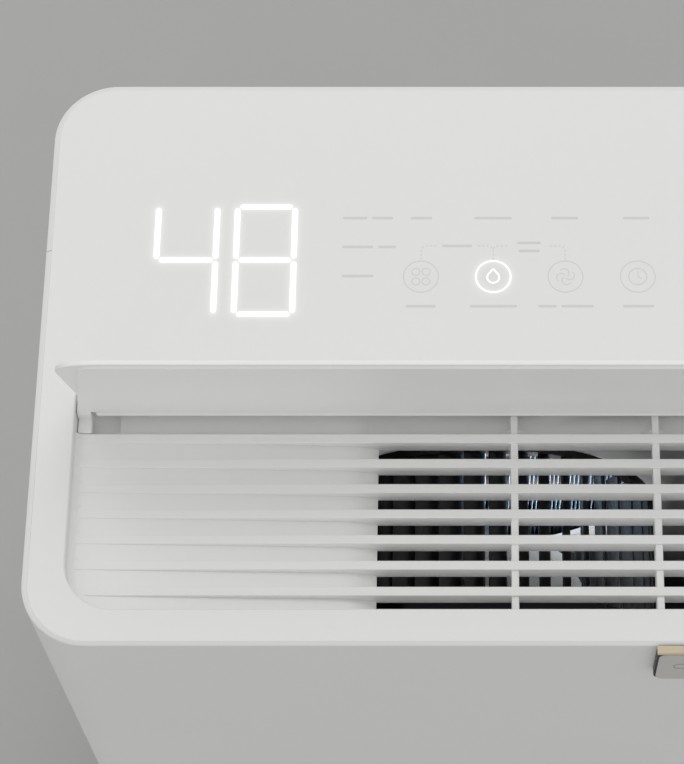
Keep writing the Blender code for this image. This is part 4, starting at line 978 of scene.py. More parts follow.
def lap(rear, front, level_drop, rear_drop, left, columns=36, rows=4):
    """Floor between two fins: its rear edge falls away to the right, then all of it ramps down."""
    top = TOP - FIN_TOP_DROP
    base = top - FIN_HEIGHT
    ramp_start = SLOT_LEFT - RAMP_LENGTH
    stations = [left + (ramp_start - left) * step / columns for step in range(columns + 1)]
    stations += [ramp_start + RAMP_LENGTH * step / 14 for step in range(1, 15)]
    shape = bmesh.new()
    lines = []
    for row in range(rows + 1):
        share_back = row / rows
        y = front + (rear - front) * share_back
        line = []
        for x in stations:
            share = min(1.0, max(0.0, (x - left) / (ramp_start - left)))
            height = top - level_drop - rear_drop * share * share_back
            if x > ramp_start:
                along = (x - ramp_start) / RAMP_LENGTH
                fall = 1 - math.cos(along * math.pi / 2)
                height += (base + 0.0008 - height) * fall
            line.append(shape.verts.new((x, y, height)))
        lines.append(line)
    floor = []
    for y in (rear, front):
        floor.append([shape.verts.new((x, y, base - 0.001)) for x in stations])
    skin(shape, lines + floor + lines[:1], False)
    rings = lines + floor
    for end in (0, -1):
        face = shape.faces.new([ring[end] for ring in rings])
        bmesh.ops.triangulate(shape, faces=[face])
    bmesh.ops.triangulate(shape, faces=shape.faces[:])
    return finish_shape(shape)


def wall_fillet(side):
    """Concave fillet where the floor meets an end wall of the outlet."""
    top = TOP - FIN_TOP_DROP
    bottom = top - 0.0005
    ring = prism([outlet_outline(INSERT_GAP - 0.001)], bottom + 0.0001, top + 0.0040)
    pillow = prism([outlet_outline(INSERT_GAP)], bottom, top + 0.02)

    def at_the_floor(edge):
        return all(abs(vert.co.z - bottom) < 1e-6 for vert in edge.verts)

    pillow = round_edges(pillow, FILLET_RADIUS, 8, at_the_floor)
    low, high = sorted((side * 0.150, side * -0.5))
    middle = block((low, -1, 0), (high, 1, 1))
    behind = block((-1, fin_centre(0) + FIN_THICKNESS / 2 - 0.0003, 0), (1, 1, 1))
    return cut(ring, pillow, middle, behind)


def make_grille():
    top = TOP - FIN_TOP_DROP
    base = top - FIN_HEIGHT
    reach = OUTLET_HALF - SMALL_GAP
    front_wall = FRONT + OUTLET_FRONT + 0.0004
    rear_wall = FRONT + OUTLET_REAR - 0.0004
    trench_front = fin_centre(0) + FIN_THICKNESS / 2 - 0.001
    pieces = []
    for index in range(FIN_COUNT):
        middle = fin_centre(index)
        section = ridged((middle - FIN_THICKNESS / 2, base), (middle + FIN_THICKNESS / 2, top), FIN_EDGE)
        pieces.append(prism([section], -reach - 0.003, reach + 0.003, "X"))
    for index in range(FIN_COUNT):
        rear = fin_centre(index) - FIN_THICKNESS / 2 + 0.0008
        front = fin_centre(index + 1) + FIN_THICKNESS / 2 - 0.0010
        if index == FIN_COUNT - 1:
            front = front_wall
        pieces.append(lap(rear, front, 0.0001, LAP_DROP, LAP_LEFT))
    right = block(
        (SLOT_RIGHT, front_wall, base - 0.001),
        (reach + 0.002, trench_front + 0.001, top - 0.0001),
    )
    trench = block(
        (-reach - 0.002, trench_front, base - 0.001), (reach + 0.002, rear_wall, base + 0.0024)
    )
    shelf = lap(rear_wall + 0.001, trench_front, 0.0050, 0.0, -0.1600)
    pieces += [right, trench, shelf]
    for index in range(RIB_COUNT):
        middle = RIB_FIRST + index * RIB_PITCH
        ridge = top - RIB_DROP
        foot = (middle - RIB_WIDTH / 2, base + 0.0004)
        section = ridged(foot, (middle + RIB_WIDTH / 2, ridge), RIB_EDGE)
        pieces.append(prism([section], front_wall, rear_wall, "Y"))
        gusset = [(middle - 0.009, base + 0.0005), (middle + 0.009, base + 0.0005), (middle, ridge - 0.0002)]
        pieces.append(prism([gusset], trench_front, trench_front + 0.0045, "Y"))
    insert = join(pieces[0], *pieces[1:])
    insert = join(insert, wall_fillet(-1), wall_fillet(1))
    inside = prism([outlet_outline(INSERT_GAP)], base - 0.01, top + 0.02)
    insert = combined(insert, [inside], "INTERSECT")
    flange = prism(
        [outlet_outline(-SKIRT_WALL - 0.004), outlet_outline(0.0018)], base - 0.0012,
        TOP - SKIRT_DEPTH - SMALL_GAP,
    )
    grille = join(flange, insert)
    bores = []
    for side in (-1, 1):
        low, high = sorted((side * PIVOT_INNER, side * PIVOT_OUTER))
        foot = block(
            (low, trench_front + 0.0012, base),
            (high, FLAP_HINGE.y + 0.0045, top + 0.0005), 0.0008, 3,
        )
        profile = [(FLAP_HINGE.y - 0.0040, base), (FLAP_HINGE.y + 0.0040, base)]
        profile += arc(FLAP_HINGE.y, FLAP_HINGE.z - 0.0010, 0.0040, 0, 180, 14)
        ear = prism([profile], low + 0.0001, high - 0.0001, "X", 0.0004, 2)
        grille = join(grille, foot, ear)
        hole = circle(FLAP_HINGE.y, FLAP_HINGE.z, FLAP_PIN + 0.0002, 24)
        start, end = sorted((side * (PIVOT_INNER - 0.002), side * (PIVOT_INNER + 0.0050)))
        bores.append(prism([hole], start, end, "X"))
    grille = cut(grille, *bores)
    # The louvre takes the lightened white: painted light against the outlet's shade
    weighted(stand("outlet_louvre", grille, "louvre", "cabinet", ["outlet_grille"], smooth=28.0))


# ---------------------------------------------------------------- flap and badge


def flap_turn():
    """From the closed place, flush with the top, to the open one at rest."""
    there = Matrix.Translation(FLAP_HINGE)
    back = Matrix.Translation(-FLAP_HINGE)
    return there @ Matrix.Rotation(math.radians(-FLAP_OPEN), 4, "X") @ back


def make_flap():
    """Skin with rounded rims, the tapering inner panel under it, and the hub with its pins."""
    half = OUTLET_HALF - FLAP_SIDE_GAP
    front = FRONT + OUTLET_FRONT + FLAP_FRONT_GAP
    shoulder = FLAP_HINGE.y - FLAP_SHOULDER
    neck = FLAP_NECK
    face = TOP - 0.0002
    underside = face - FLAP_THICKNESS
    outline = arc(-half + FLAP_CORNER, front + FLAP_CORNER, FLAP_CORNER, 180, 270, 28)
    outline += arc(half - FLAP_CORNER, front + FLAP_CORNER, FLAP_CORNER, 270, 360, 28)
    outline += arc(half - 0.003, shoulder - 0.003, 0.003, 0, 90, 6)
    outline += [(neck, shoulder), (neck, FLAP_HINGE.y + 0.002)]
    outline += [(-neck, FLAP_HINGE.y + 0.002), (-neck, shoulder)]
    outline += arc(-half + 0.003, shoulder - 0.003, 0.003, 90, 180, 6)
    leaf = prism([outline], underside, face, "Z", 0.0006, 4)

    tip = front + FLAP_TIP_MARGIN
    tip_half = half - FLAP_TIP_SHOULDER
    root = FLAP_HINGE.y - FLAP_SWEEP_LENGTH
    plan = arc(-tip_half + 0.008, tip + 0.008, 0.008, 187, 270, 12)
    plan += arc(tip_half - 0.008, tip + 0.008, 0.008, 270, 353, 12)
    sweep = []
    for step in range(13):
        turn = math.radians(90 * step / 12)
        x = FLAP_SWEEP_INNER + (half - 0.0016 - FLAP_SWEEP_INNER) * math.cos(turn)
        sweep.append((x, root + (FLAP_SWEEP_LENGTH - FLAP_HUB_GAP) * math.sin(turn)))
    sweep += [(neck - 0.0003, FLAP_HINGE.y - FLAP_HUB_GAP), (neck - 0.0003, FLAP_HINGE.y)]
    plan += sweep + [(-x, y) for x, y in reversed(sweep)]
    slab = prism([plan], underside - 0.02, underside + 0.0009)
    hub_bottom = FLAP_HINGE.z - FLAP_HUB + 0.00005
    section = [
        (FLAP_HINGE.y + 0.01, hub_bottom),
        (FLAP_HINGE.y + 0.01, underside + 0.0007),
        (tip - 0.01, underside + 0.0007),
        (tip - 0.01, underside - FLAP_TIP_STEP),
        (tip, underside - FLAP_TIP_STEP),
    ]
    slope = prism([section], -1, 1, "X")
    inner = combined(slab, [slope], "INTERSECT")

    def on_the_panel(point):
        return point.z < underside - 0.0001 and point.y < FLAP_HINGE.y - 0.004

    inner = soften(inner, 0.0004, 3, on_the_panel)

    collar = [(FLAP_HUB - 0.0004, neck), (FLAP_HUB, neck - 0.0004)]
    collar += [(FLAP_HUB, -neck + 0.0004), (FLAP_HUB - 0.0004, -neck)]
    hub = turned(collar, FLAP_HINGE, "X", 40)
    reach = PIVOT_OUTER - 0.001
    pin = [(FLAP_PIN - 0.0003, reach), (FLAP_PIN, reach - 0.0003)]
    pin += [(FLAP_PIN, -reach + 0.0003), (FLAP_PIN - 0.0003, -reach)]
    pins = turned(pin, FLAP_HINGE, "X", 24)
    mesh = gathered([leaf, inner, hub, pins])
    mesh.transform(flap_turn())
    # The lid takes the lightened white: painted light against the shade under it
    weighted(stand("outlet_lid", mesh, "lid", "flap", ["outlet_flap"], smooth=32.0))


def make_badge():
    """Blank nameplate of one champagne metal: a champagne strip over its top, a satin grey face that is
    painted reflection on its front, and a black carrier between whose black is painted shade and dark
    reflection on its sides.
    """
    low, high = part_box("badge")
    leaf = 0.0007
    top_leaf = [(high.y, high.z), (high.y, high.z - leaf), (low.y + 0.0002, high.z - leaf)]
    top_leaf += arc(low.y + 0.0009, high.z - 0.0009, 0.0008, 165, 90, 5)
    strip = prism([top_leaf[::-1]], low.x, high.x, "X", 0.00012, 2)
    weighted(stand("badge_strip", strip, "gold", "cabinet", ["badge"], smooth=30.0))
    # Satin grey of the front plate: painted reflection of the champagne metal's front face
    face = rounded(low.x + 0.0010, low.z, high.x - 0.0010, high.z - 0.0012, [BADGE_CORNER] * 4, 10)
    plate = prism([face], low.y + 0.0001, low.y + leaf, "Y", 0.0002, 2)
    weighted(stand("badge_front_painted_reflection", plate, "satin", "cabinet", smooth=30.0))
    frame = rounded(low.x + 0.0080, low.z + 0.0150, high.x - 0.0080, high.z - 0.0130, [0.0024] * 4, 8)
    outlines = [frame, inset_outline(without_repeats(frame), 0.0006)]
    stand("badge_frame", prism(outlines, low.y, low.y + 0.0003, "Y"), "grey", "cabinet")
    # Black of the carrier: painted shade and dark reflection on the badge's sides
    body = rounded(low.x, low.z, high.x, high.z - leaf, [BADGE_CORNER] * 4, 10)
    dark_sided_body = prism([body], low.y + leaf - 0.0001, high.y, "Y", 0.0002, 2)
    weighted(stand("badge_body_painted_side_shade", dark_sided_body, "dark", "cabinet"))


# ---------------------------------------------------------------- display and printed controls


def raised(outlines, height=PRINT_HEIGHT):
    return prism(outlines, TOP - 0.00025, TOP + height)


def capsule(x, y, half_length, radius, upright=False, steps=8):
    """Rounded bar on the top, lying along X or, upright, along Y."""
    outline = arc(half_length - radius, 0, radius, -90, 90, steps)
    outline += arc(-half_length + radius, 0, radius, 90, 270, steps)
    if upright:
        outline = [(-v, u) for u, v in outline]
    return [(x + u, y + v) for u, v in outline]


def stroke_outline(x, y, half_x, half_y):
    """One lit segment: a straight bar whose ends are pointed and softened."""
    long = max(half_x, half_y)
    half = STROKE / 2
    nose = long + half * 0.7
    points = [(long, -half), (nose, -half * 0.32), (nose, half * 0.32), (long, half)]
    points += [(-u, -v) for u, v in points]
    if half_y > half_x:
        points = [(-v, u) for u, v in points]
    return [(x + u, y + v) for u, v in softened(points, 0.0006)]


def ring_outlines(x, y, radius, line, steps=72):
    outer = arc(x, y, radius + line / 2, 0, 360, steps)
    inner = arc(x, y, radius - line / 2, 0, 360, steps)
    return [without_repeats(outer), without_repeats(inner)]


def line_outline(route):
    """A printed line along a route."""
    return strip_outline(route, [PRINT_LINE / 2] * len(route))


def button_place(index):
    return BUTTON_FIRST + index * BUTTON_PITCH, FRONT + BUTTON_BACK


def mode_icon(x, y):
    shapes = []
    for u in (-1, 1):
        for v in (-1, 1):
            shapes.append(ring_outlines(x + u * 0.00235, y + v * 0.00250, 0.00185, PRINT_LINE, 32))
    return shapes


def drop_route(x, y, size):
    """A water drop, its point away from the front."""
    route = arc(x, y - 0.12 * size, 0.84 * size, 145, 395, 32)
    route += [(x + 0.32 * size, y + 0.82 * size), (x, y + 1.22 * size), (x - 0.32 * size, y + 0.82 * size)]
    return softened(route, 0.3 * size, 3)


def fan_icon(x, y):
    """Four curved blades sweeping out from the middle."""
    shapes = []
    for blade_index in range(4):
        start = math.radians(90 * blade_index + 20)
        route = []
        for step in range(17):
            t = step / 16
            reach = 0.0008 + 0.0034 * math.sin(math.pi * 0.60 * t)
            angle = start + math.radians(105) * t
            route.append((x + reach * math.cos(angle), y + reach * math.sin(angle)))
        shapes.append([line_outline(route)])
    return shapes


def timer_icon(x, y):
    hands = line_outline([(x, y + 0.0028), (x, y), (x + 0.0019, y - 0.0011)])
    return [ring_outlines(x, y, 0.0042, PRINT_LINE, 48), [hands]]


def power_icon(x, y):
    bow = line_outline(arc(x, y, 0.0034, 125, 415, 40))
    stem = line_outline([(x, y + 0.0044), (x, y + 0.0012)])
    return [[bow], [stem]]


def dashes(route, dash, gap):
    """Short lines along a route of points."""
    points = [Vector(point) for point in route]
    lengths = [(b - a).length for a, b in zip(points, points[1:])]
    total = sum(lengths)

    def at(distance):
        for index, length in enumerate(lengths):
            if distance <= length or index == len(lengths) - 1:
                return points[index].lerp(points[index + 1], min(1.0, distance / length))
            distance -= length

    shapes = []
    count = int((total + gap) // (dash + gap))
    for index in range(count):
        start = index * (dash + gap)
        places = [tuple(at(start + dash * step / 4)) for step in range(5)]
        shapes.append([line_outline(without_repeats(places))])
    return shapes


def connector(x0, x1, label_half, with_first_stub):
    """Dashed line from one button up, across with room for a mark, and down to the next."""
    low = FRONT + BUTTON_BACK + BUTTON_RADIUS + 0.0008
    high = FRONT + CONNECTOR_BACK
    middle = (x0 + x1) / 2
    bend = 0.0025
    first = [(x0, low), (x0, high - bend), *arc(x0 + bend, high - bend, bend, 180, 90, 8)]
    second = [(2 * middle - x, y) for x, y in first]
    if not with_first_stub:
        first = first[4:]
    shapes = []
    for route, end in ((first, middle - label_half), (second, middle + label_half)):
        shapes += dashes([*route, (end, high)], 0.0011, 0.0009)
    return shapes


def row_length(lengths):
    return sum(lengths) + MARK_GAP * (len(lengths) - 1)


def marks(x, y, lengths, radius=0.00062):
    """Row of plain rounded bars, centred on a point, where a caption would be."""
    start = x - row_length(lengths) / 2
    shapes = []
    for length in lengths:
        shapes.append([capsule(start + length / 2, y, length / 2, radius)])
        start += length + MARK_GAP
    return shapes


def make_display():
    lit = []
    for stroke in lit_areas():
        lit.append(raised([stroke_outline(*stroke)], LIT_HEIGHT))
    ring_x, ring_y = button_place(LIT_BUTTON)
    lit.append(raised(ring_outlines(ring_x, ring_y, BUTTON_RADIUS, 0.00055), LIT_HEIGHT))
    drop = drop_route(ring_x, ring_y, 0.0037)
    lit.append(raised([drop, inset_outline(drop, 0.0006)], LIT_HEIGHT))
    stand("lit_segments", gathered(lit), "digit", "cabinet")


def make_prints():
    shapes = []
    icons = (mode_icon, None, fan_icon, timer_icon, power_icon)
    for index, icon in enumerate(icons):
        x, y = button_place(index)
        if icon:
            shapes.append(ring_outlines(x, y, BUTTON_RADIUS, PRINT_LINE))
            shapes += icon(x, y)
        above, below = CAPTIONS[index]
        shapes += marks(x, FRONT + CAPTION_REAR, above)
        shapes += marks(x, FRONT + CAPTION_FRONT, below)
    for row, lengths in enumerate(SIDE_CAPTIONS):
        place = SIDE_CAPTION_LEFT + row_length(lengths) / 2
        shapes += marks(place, FRONT + CAPTION_REAR - row * SIDE_CAPTION_PITCH, lengths)
    for index in (0, 1):
        start = button_place(index)[0]
        end = button_place(index + 1)[0]
        middle = (start + end) / 2
        shapes += connector(start, end, 0.0085, index == 0)
        if index == 0:
            shapes += marks(middle, FRONT + CONNECTOR_BACK, (0.0140,))
        else:
            shapes += marks(middle, FRONT + CONNECTOR_BACK + 0.0016, (0.0110,))
            shapes += marks(middle, FRONT + CONNECTOR_BACK - 0.0026, (0.0100,))
    meshes = [raised(outlines) for outlines in shapes]
    stand("printed_controls", gathered(meshes), "print", "cabinet")


# ---------------------------------------------------------------- bucket


def make_bucket_cover():
    """Front of the bucket with rounded rims and a finger pocket under its top edge."""
    low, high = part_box("bucket_front")
    sill = high.z - POCKET_HEIGHT
    outline = [(low.x, low.z), (high.x, low.z), (high.x, high.z), (POCKET_HALF, high.z)]
    outline += [(POCKET_HALF, sill), (-POCKET_HALF, sill), (-POCKET_HALF, high.z), (low.x, high.z)]
    outline = softened(outline, 0.0016, 5)
    cover = prism([outline], low.y, low.y + COVER_THICKNESS, "Y", 0.0007, 3)
    shell = block(
        (-POCKET_HALF - 0.002, low.y + 0.001, sill - 0.002),
        (POCKET_HALF + 0.002, high.y, high.z - 0.0002), 0.0006,
    )
    hollow = block(
        (-POCKET_HALF, low.y - 0.01, sill), (POCKET_HALF, high.y - 0.002, high.z + 0.01),
        0.0018, 4,
    )
    cover = join(cover, cut(shell, hollow))
    weighted(stand("bucket_cover", cover, "white", "bucket", ["bucket_front"], smooth=30.0))


def tank_outline(low, high, inset):
    near = 0.010 - inset
    far = 0.018 - inset
    return rounded(low.x + inset, low.y + inset, high.x - inset, high.y - inset, (near, near, far, far), 10)


def make_tank():
    low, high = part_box("water_bucket")
    wall = 0.0024
    tank = prism([tank_outline(low, high, 0.0)], low.z, high.z, "Z", 0.0010, 4)
    hollow = prism([tank_outline(low, high, wall)], low.z + wall, high.z + 0.02, "Z", 0.0030, 5)
    tank = cut(tank, hollow)
    pivot = Vector(JOINTS["float_hinge"]["pos_m"])
    lugs = []
    for side in (-1, 1):
        start, end = sorted((side * 0.0135, side * 0.0165))
        lug = block(
            (pivot.x + start, pivot.y - 0.005, pivot.z - 0.006),
            (pivot.x + end, high.y - wall / 2, pivot.z + 0.006), 0.0005,
        )
        bore = prism([circle(pivot.y, pivot.z, 0.0017, 24)], pivot.x - 0.03, pivot.x + 0.03, "X")
        lugs.append(cut(lug, bore))
    levels = []
    for step in range(4):
        height = low.z + 0.050 + 0.040 * step
        levels.append(block((low.x, -0.090, height), (low.x + 0.0006, -0.060, height + 0.0008)))
    mesh = gathered([tank, *lugs, *levels])
    weighted(stand("tank", mesh, "clear", "bucket", ["water_bucket"], smooth=30.0))


def make_tank_lid():
    low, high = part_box("bucket_lid")
    mouth = (0.0, low.y + 0.1265)
    front = low.y + 0.006
    back = low.y + 0.050
    pour = softened([(-0.145, front), (-0.095, front), (-0.095, back), (-0.145, back)], 0.004, 6)
    outlines = [tank_outline(low, high, 0.0), circle(*mouth, 0.0125, 48), pour]
    lid = prism(outlines, low.z, high.z, "Z", 0.0005, 3)
    rings = [circle(*mouth, 0.0150, 48), circle(*mouth, 0.0127, 48)]
    collar = prism(rings, low.z - 0.0020, high.z + 0.0008, "Z", 0.0003, 2)
    rib_pieces = []
    for x in (-0.050, 0.060, 0.110):
        start = (x, low.y + 0.012, high.z - 0.0004)
        rib_pieces.append(block(start, (x + 0.0014, high.y - 0.020, high.z + 0.0012), 0.0003))
    mesh = gathered([lid, collar, *rib_pieces])
    weighted(stand("tank_lid", mesh, "grey", "bucket", ["bucket_lid"], smooth=30.0))


def make_float():
    pivot = Vector(JOINTS["float_hinge"]["pos_m"])
    arm = block(
        pivot + Vector((-0.005, -0.030, -0.0025)), pivot + Vector((0.005, 0.0025, 0.0025)), 0.0008
    )
    foam = block(
        pivot + Vector((-0.030, -0.066, -0.020)), pivot + Vector((0.030, -0.026, 0.0035)), 0.0035, 4
    )
    pin = [(0.0011, 0.01625), (0.0014, 0.0159), (0.0014, -0.0159), (0.0011, -0.01625)]
    pin = turned(pin, pivot, "X", 20)
    stand("float", gathered([arm, foam, pin]), "foam", "float", ["bucket_float"])


# ---------------------------------------------------------------- rear and sides


def make_filter():
    low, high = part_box("filter_frame")
    face = REAR - 0.0010
    back = REAR - 0.0050
    pitch = (high.z - low.z - 0.030) / INTAKE_SLOTS
    holes = []
    for row in range(INTAKE_SLOTS):
        start = low.z + 0.015 + row * pitch + pitch * 0.22
        for left, right in INTAKE_COLUMNS:
            holes.append(rounded(left, start, right, start + pitch * 0.56, [0.0035] * 4, 6))
    rim = rounded(low.x, low.z, high.x, high.z, [0.002] * 4, 5)
    frame_mesh = prism([rim, *holes], back, face, "Y", 0.0006, 3)
    louvres = []
    for row in range(INTAKE_SLOTS):
        middle = low.z + 0.015 + (row + 0.5) * pitch
        section = [(back + 0.0003, middle + 0.0022), (back + 0.0003, middle + 0.0010)]
        section += [(face - 0.0012, middle - 0.0026), (face - 0.0012, middle - 0.0014)]
        for left, right in INTAKE_COLUMNS:
            louvres.append(prism([section], left - 0.001, right + 0.001, "X"))
    tab = block((-0.022, face - 0.0008, high.z - 0.0105), (0.022, high.y, high.z - 0.0070), 0.0009, 3)
    mesh = gathered([frame_mesh, *louvres, tab])
    weighted(stand("intake_grille", mesh, "white", "filter", ["filter_frame"], smooth=30.0))


def make_rear_fittings():
    middle = middle_of("drain_port")
    place = (middle.x, REAR + 0.0010, middle.z)
    port = [(0.0060, 0.0), (0.0060, -0.0022), (0.0080, -0.0022), (0.0080, -0.0040), (0.0105, -0.0040)]
    port += [(0.0105, -0.0085), (0.0080, -0.0085), (0.0080, -0.0400), (0.0045, -0.0400), (0.0045, 0.0)]
    port.append(port[0])
    stand("drain_spigot", turned(port, place, "Y", 64), "grey", "cabinet", ["drain_port"])
    crown = CAP_PROUD
    cap = [(0.0036, -0.0060), (0.0036, 0.0016), (0.0140, 0.0016), (0.0140, crown), (0.0090, crown)]
    cap += [(0.0084, crown - 0.0007), (0.0, crown - 0.0007)]
    cap = [(0.0002, -0.0060), *soft_profile(cap, 0.0006), (0.0002, crown - 0.0007)]
    cap = turned(cap, (place[0], REAR, place[2]), "Y", 64)
    ridges = []
    for step in range(24):
        angle = 2 * math.pi * step / 24
        spot = Vector((place[0] + 0.01385 * math.cos(angle), 0.0, place[2] + 0.01385 * math.sin(angle)))
        outline = circle(spot.x, spot.z, 0.00050, 6)
        ridges.append(prism([outline], REAR + 0.0020, REAR + crown - 0.0007, "Y"))
    stand("drain_stopper", gathered([cap, *ridges]), "rubber", "drain_plug", ["drain_cap"])
    middle = middle_of("cord_inlet")
    gland = [(0.0034, 0.0030), (0.0070, 0.0030), (0.0115, 0.0010), (0.0115, 0.0003), (0.0090, 0.0003)]
    gland += [(0.0090, -0.0060), (0.0034, -0.0060)]
    gland = [(0.0034, -0.001), *soft_profile([(0.0034, 0.0029), *gland[1:]], 0.0008), (0.0034, -0.001)]
    gland = turned(gland, (middle.x, REAR, middle.z), "Y", 64)
    stand("cord_gland", gland, "rubber", "cabinet", ["cord_inlet"])


def make_grips():
    for side, name in ((-1, "left"), (1, "right")):
        start, end = sorted((side * (HALF_WIDTH - GRIP_DEPTH), side * (HALF_WIDTH - 0.0004)))
        grip = prism([grip_outline(0.0)], start, end, "X", 0.0005, 3)
        floor, mouth = sorted((side * (HALF_WIDTH - GRIP_DEPTH + 0.002), side * (HALF_WIDTH + 0.01)))
        hollow = prism([grip_outline(-0.002)], floor, mouth, "X", 0.0040, 6)
        mesh = cut(grip, hollow)
        weighted(stand(f"hand_grip_{name}", mesh, "grey", "cabinet", ["grip_" + name], smooth=35.0))


# ---------------------------------------------------------------- casters


def make_caster(corner):
    low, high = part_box("caster_wheel_" + corner)
    centre = (low + high) / 2
    radius = (high.z - low.z) / 2
    half = (high.x - low.x) / 2
    swivel = Vector(JOINTS["swivel_" + corner]["pos_m"])
    crown = 2 * radius + 0.0018
    inner = half + 0.0008
    outer = inner + 0.0025
    plate = block(
        (centre.x - outer, swivel.y - 0.009, crown), (centre.x + outer, centre.y + 0.009, crown + 0.0035),
        0.0010, 3,
    )
    foot = (swivel.x, swivel.y, 0)
    stem = [(0.0032, crown + 0.0190), (0.0036, crown + 0.0186)]
    stem += [(0.0036, crown + 0.003), (0.0036, crown + 0.002)]
    race = [(0.0040, crown + 0.0047), (0.0066, crown + 0.0047), (0.0074, crown + 0.0030)]
    stem = turned(stem, foot, "Z", 28)
    race = turned(soft_profile(race, 0.0006), foot, "Z", 36)
    cheeks = []
    for side in (-1, 1):
        start, end = sorted((side * inner, side * outer))
        outline = [(swivel.y - 0.008, crown + 0.001)]
        outline += arc(centre.y, centre.z, 0.0055, 200, 340, 18)
        outline.append((centre.y + 0.008, crown + 0.001))
        cheeks.append(prism([outline], centre.x + start, centre.x + end, "X", 0.0005, 2))
    body = gathered([plate, stem, race, *cheeks])
    stand(f"fork_{corner}", body, "dark", "swivel_" + corner, ["caster_fork_" + corner])
    profile = [(0.0024, half), (0.0060, half), (0.0068, half - 0.0010), (radius - 0.0042, half - 0.0010)]
    profile += [(radius - 0.0034, half), (radius - 0.0012, half), (radius, half - 0.0022)]
    profile = soft_profile(profile, 0.0009)
    profile += [(reach, -height) for reach, height in reversed(profile)]
    tread = turned(profile + profile[:1], centre, "X", 72)
    stand(f"roller_{corner}", tread, "rubber", "wheel_" + corner, ["caster_wheel_" + corner])
    length = outer + 0.0005
    pin = [(0.0012, length), (0.0020, length - 0.0006), (0.0020, -length + 0.0006), (0.0012, -length)]
    axle = turned(pin, centre, "X", 28)
    stand(f"axle_{corner}", axle, "steel", "swivel_" + corner, ["caster_axle_" + corner])


# ---------------------------------------------------------------- fan


def scroll_radius(angle):
    travelled = (angle - SCROLL_START) / (360.0 - SCROLL_START)
    return SCROLL_NEAR + (SCROLL_FAR - SCROLL_NEAR) * travelled


def scroll_line(offset, steps=96):
    """Spiral from the tongue, round under the wheel and up the right-hand side."""
    top = TOP - FIN_TOP_DROP - FIN_HEIGHT - 0.0015
    tongue = scroll_radius(SCROLL_START) + offset
    turn = math.radians(SCROLL_START)
    height = FAN.z + tongue * math.sin(turn)
    corner = [(SLOT_LEFT - offset - 0.002, top), (SLOT_LEFT - offset - 0.002, height + 0.012)]
    corner.append((FAN.x + tongue * math.cos(turn) + 0.003, height + 0.004))
    points = soft_profile(corner, 0.006, 6)
    for step in range(1, steps + 1):
        angle = SCROLL_START + (360.0 - SCROLL_START) * step / steps
        reach = scroll_radius(angle) + offset
        turn = math.radians(angle)
        points.append((FAN.x + reach * math.cos(turn), FAN.z + reach * math.sin(turn)))
    points.append((FAN.x + SCROLL_FAR + offset, top))
    return points


def make_fan_housing():
    low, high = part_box("fan_scroll")
    wall = [scroll_line(0.0022) + scroll_line(0.0)[::-1]]
    weighted(stand("scroll", prism(wall, low.y, high.y, "Y"), "dark", "cabinet", ["fan_scroll"]))
    plates = (("fan_front_plate", "scroll_front", "dark"), ("fan_rear_plate", "scroll_back", "pale"))
    for node, name, finish in plates:
        low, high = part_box(node)
        outline = [(low.x, low.z), (high.x, low.z), (high.x, high.z), (SLOT_LEFT - 0.006, high.z)]
        outline += [(SLOT_LEFT - 0.006, FAN.z + 0.088), (low.x, FAN.z + 0.020)]
        outlines = [softened(outline, 0.004, 4)]
        ring_pieces = []
        if node == "fan_rear_plate":
            eye = FAN_RADIUS - 0.012
            outlines.append(circle(FAN.x, FAN.z, eye, 144))
            lip = [(eye, low.y + 0.0010), (eye - 0.0004, low.y - 0.0010), (eye + 0.0020, low.y - 0.0002)]
            lip += [(eye + 0.0026, low.y + 0.0010), (eye, low.y + 0.0010)]
            ring_pieces.append(turned(lip, (FAN.x, 0, FAN.z), "Y", 144))
        plate = prism(outlines, low.y, high.y, "Y", 0.0004, 2)
        weighted(stand(name, gathered([plate, *ring_pieces]), finish, "cabinet", [node]))


def blade(angle):
    """One blade of the wheel, curved in section and thin at both edges."""
    near = FAN.y
    far = FAN.y + FAN_WIDTH - 0.001
    line = []
    for step in range(9):
        t = step / 8
        reach = FAN_RADIUS - 0.0125 + 0.0125 * t
        swing = angle + math.radians(6.4 * t * t - 3.2)
        line.append((FAN.x + reach * math.cos(swing), FAN.z + reach * math.sin(swing)))
    thick = [0.0004 + 0.0006 * math.sin(math.pi * step / 8) for step in range(9)]
    return prism([strip_outline(line, thick)], near + 0.0006, far, "Y")


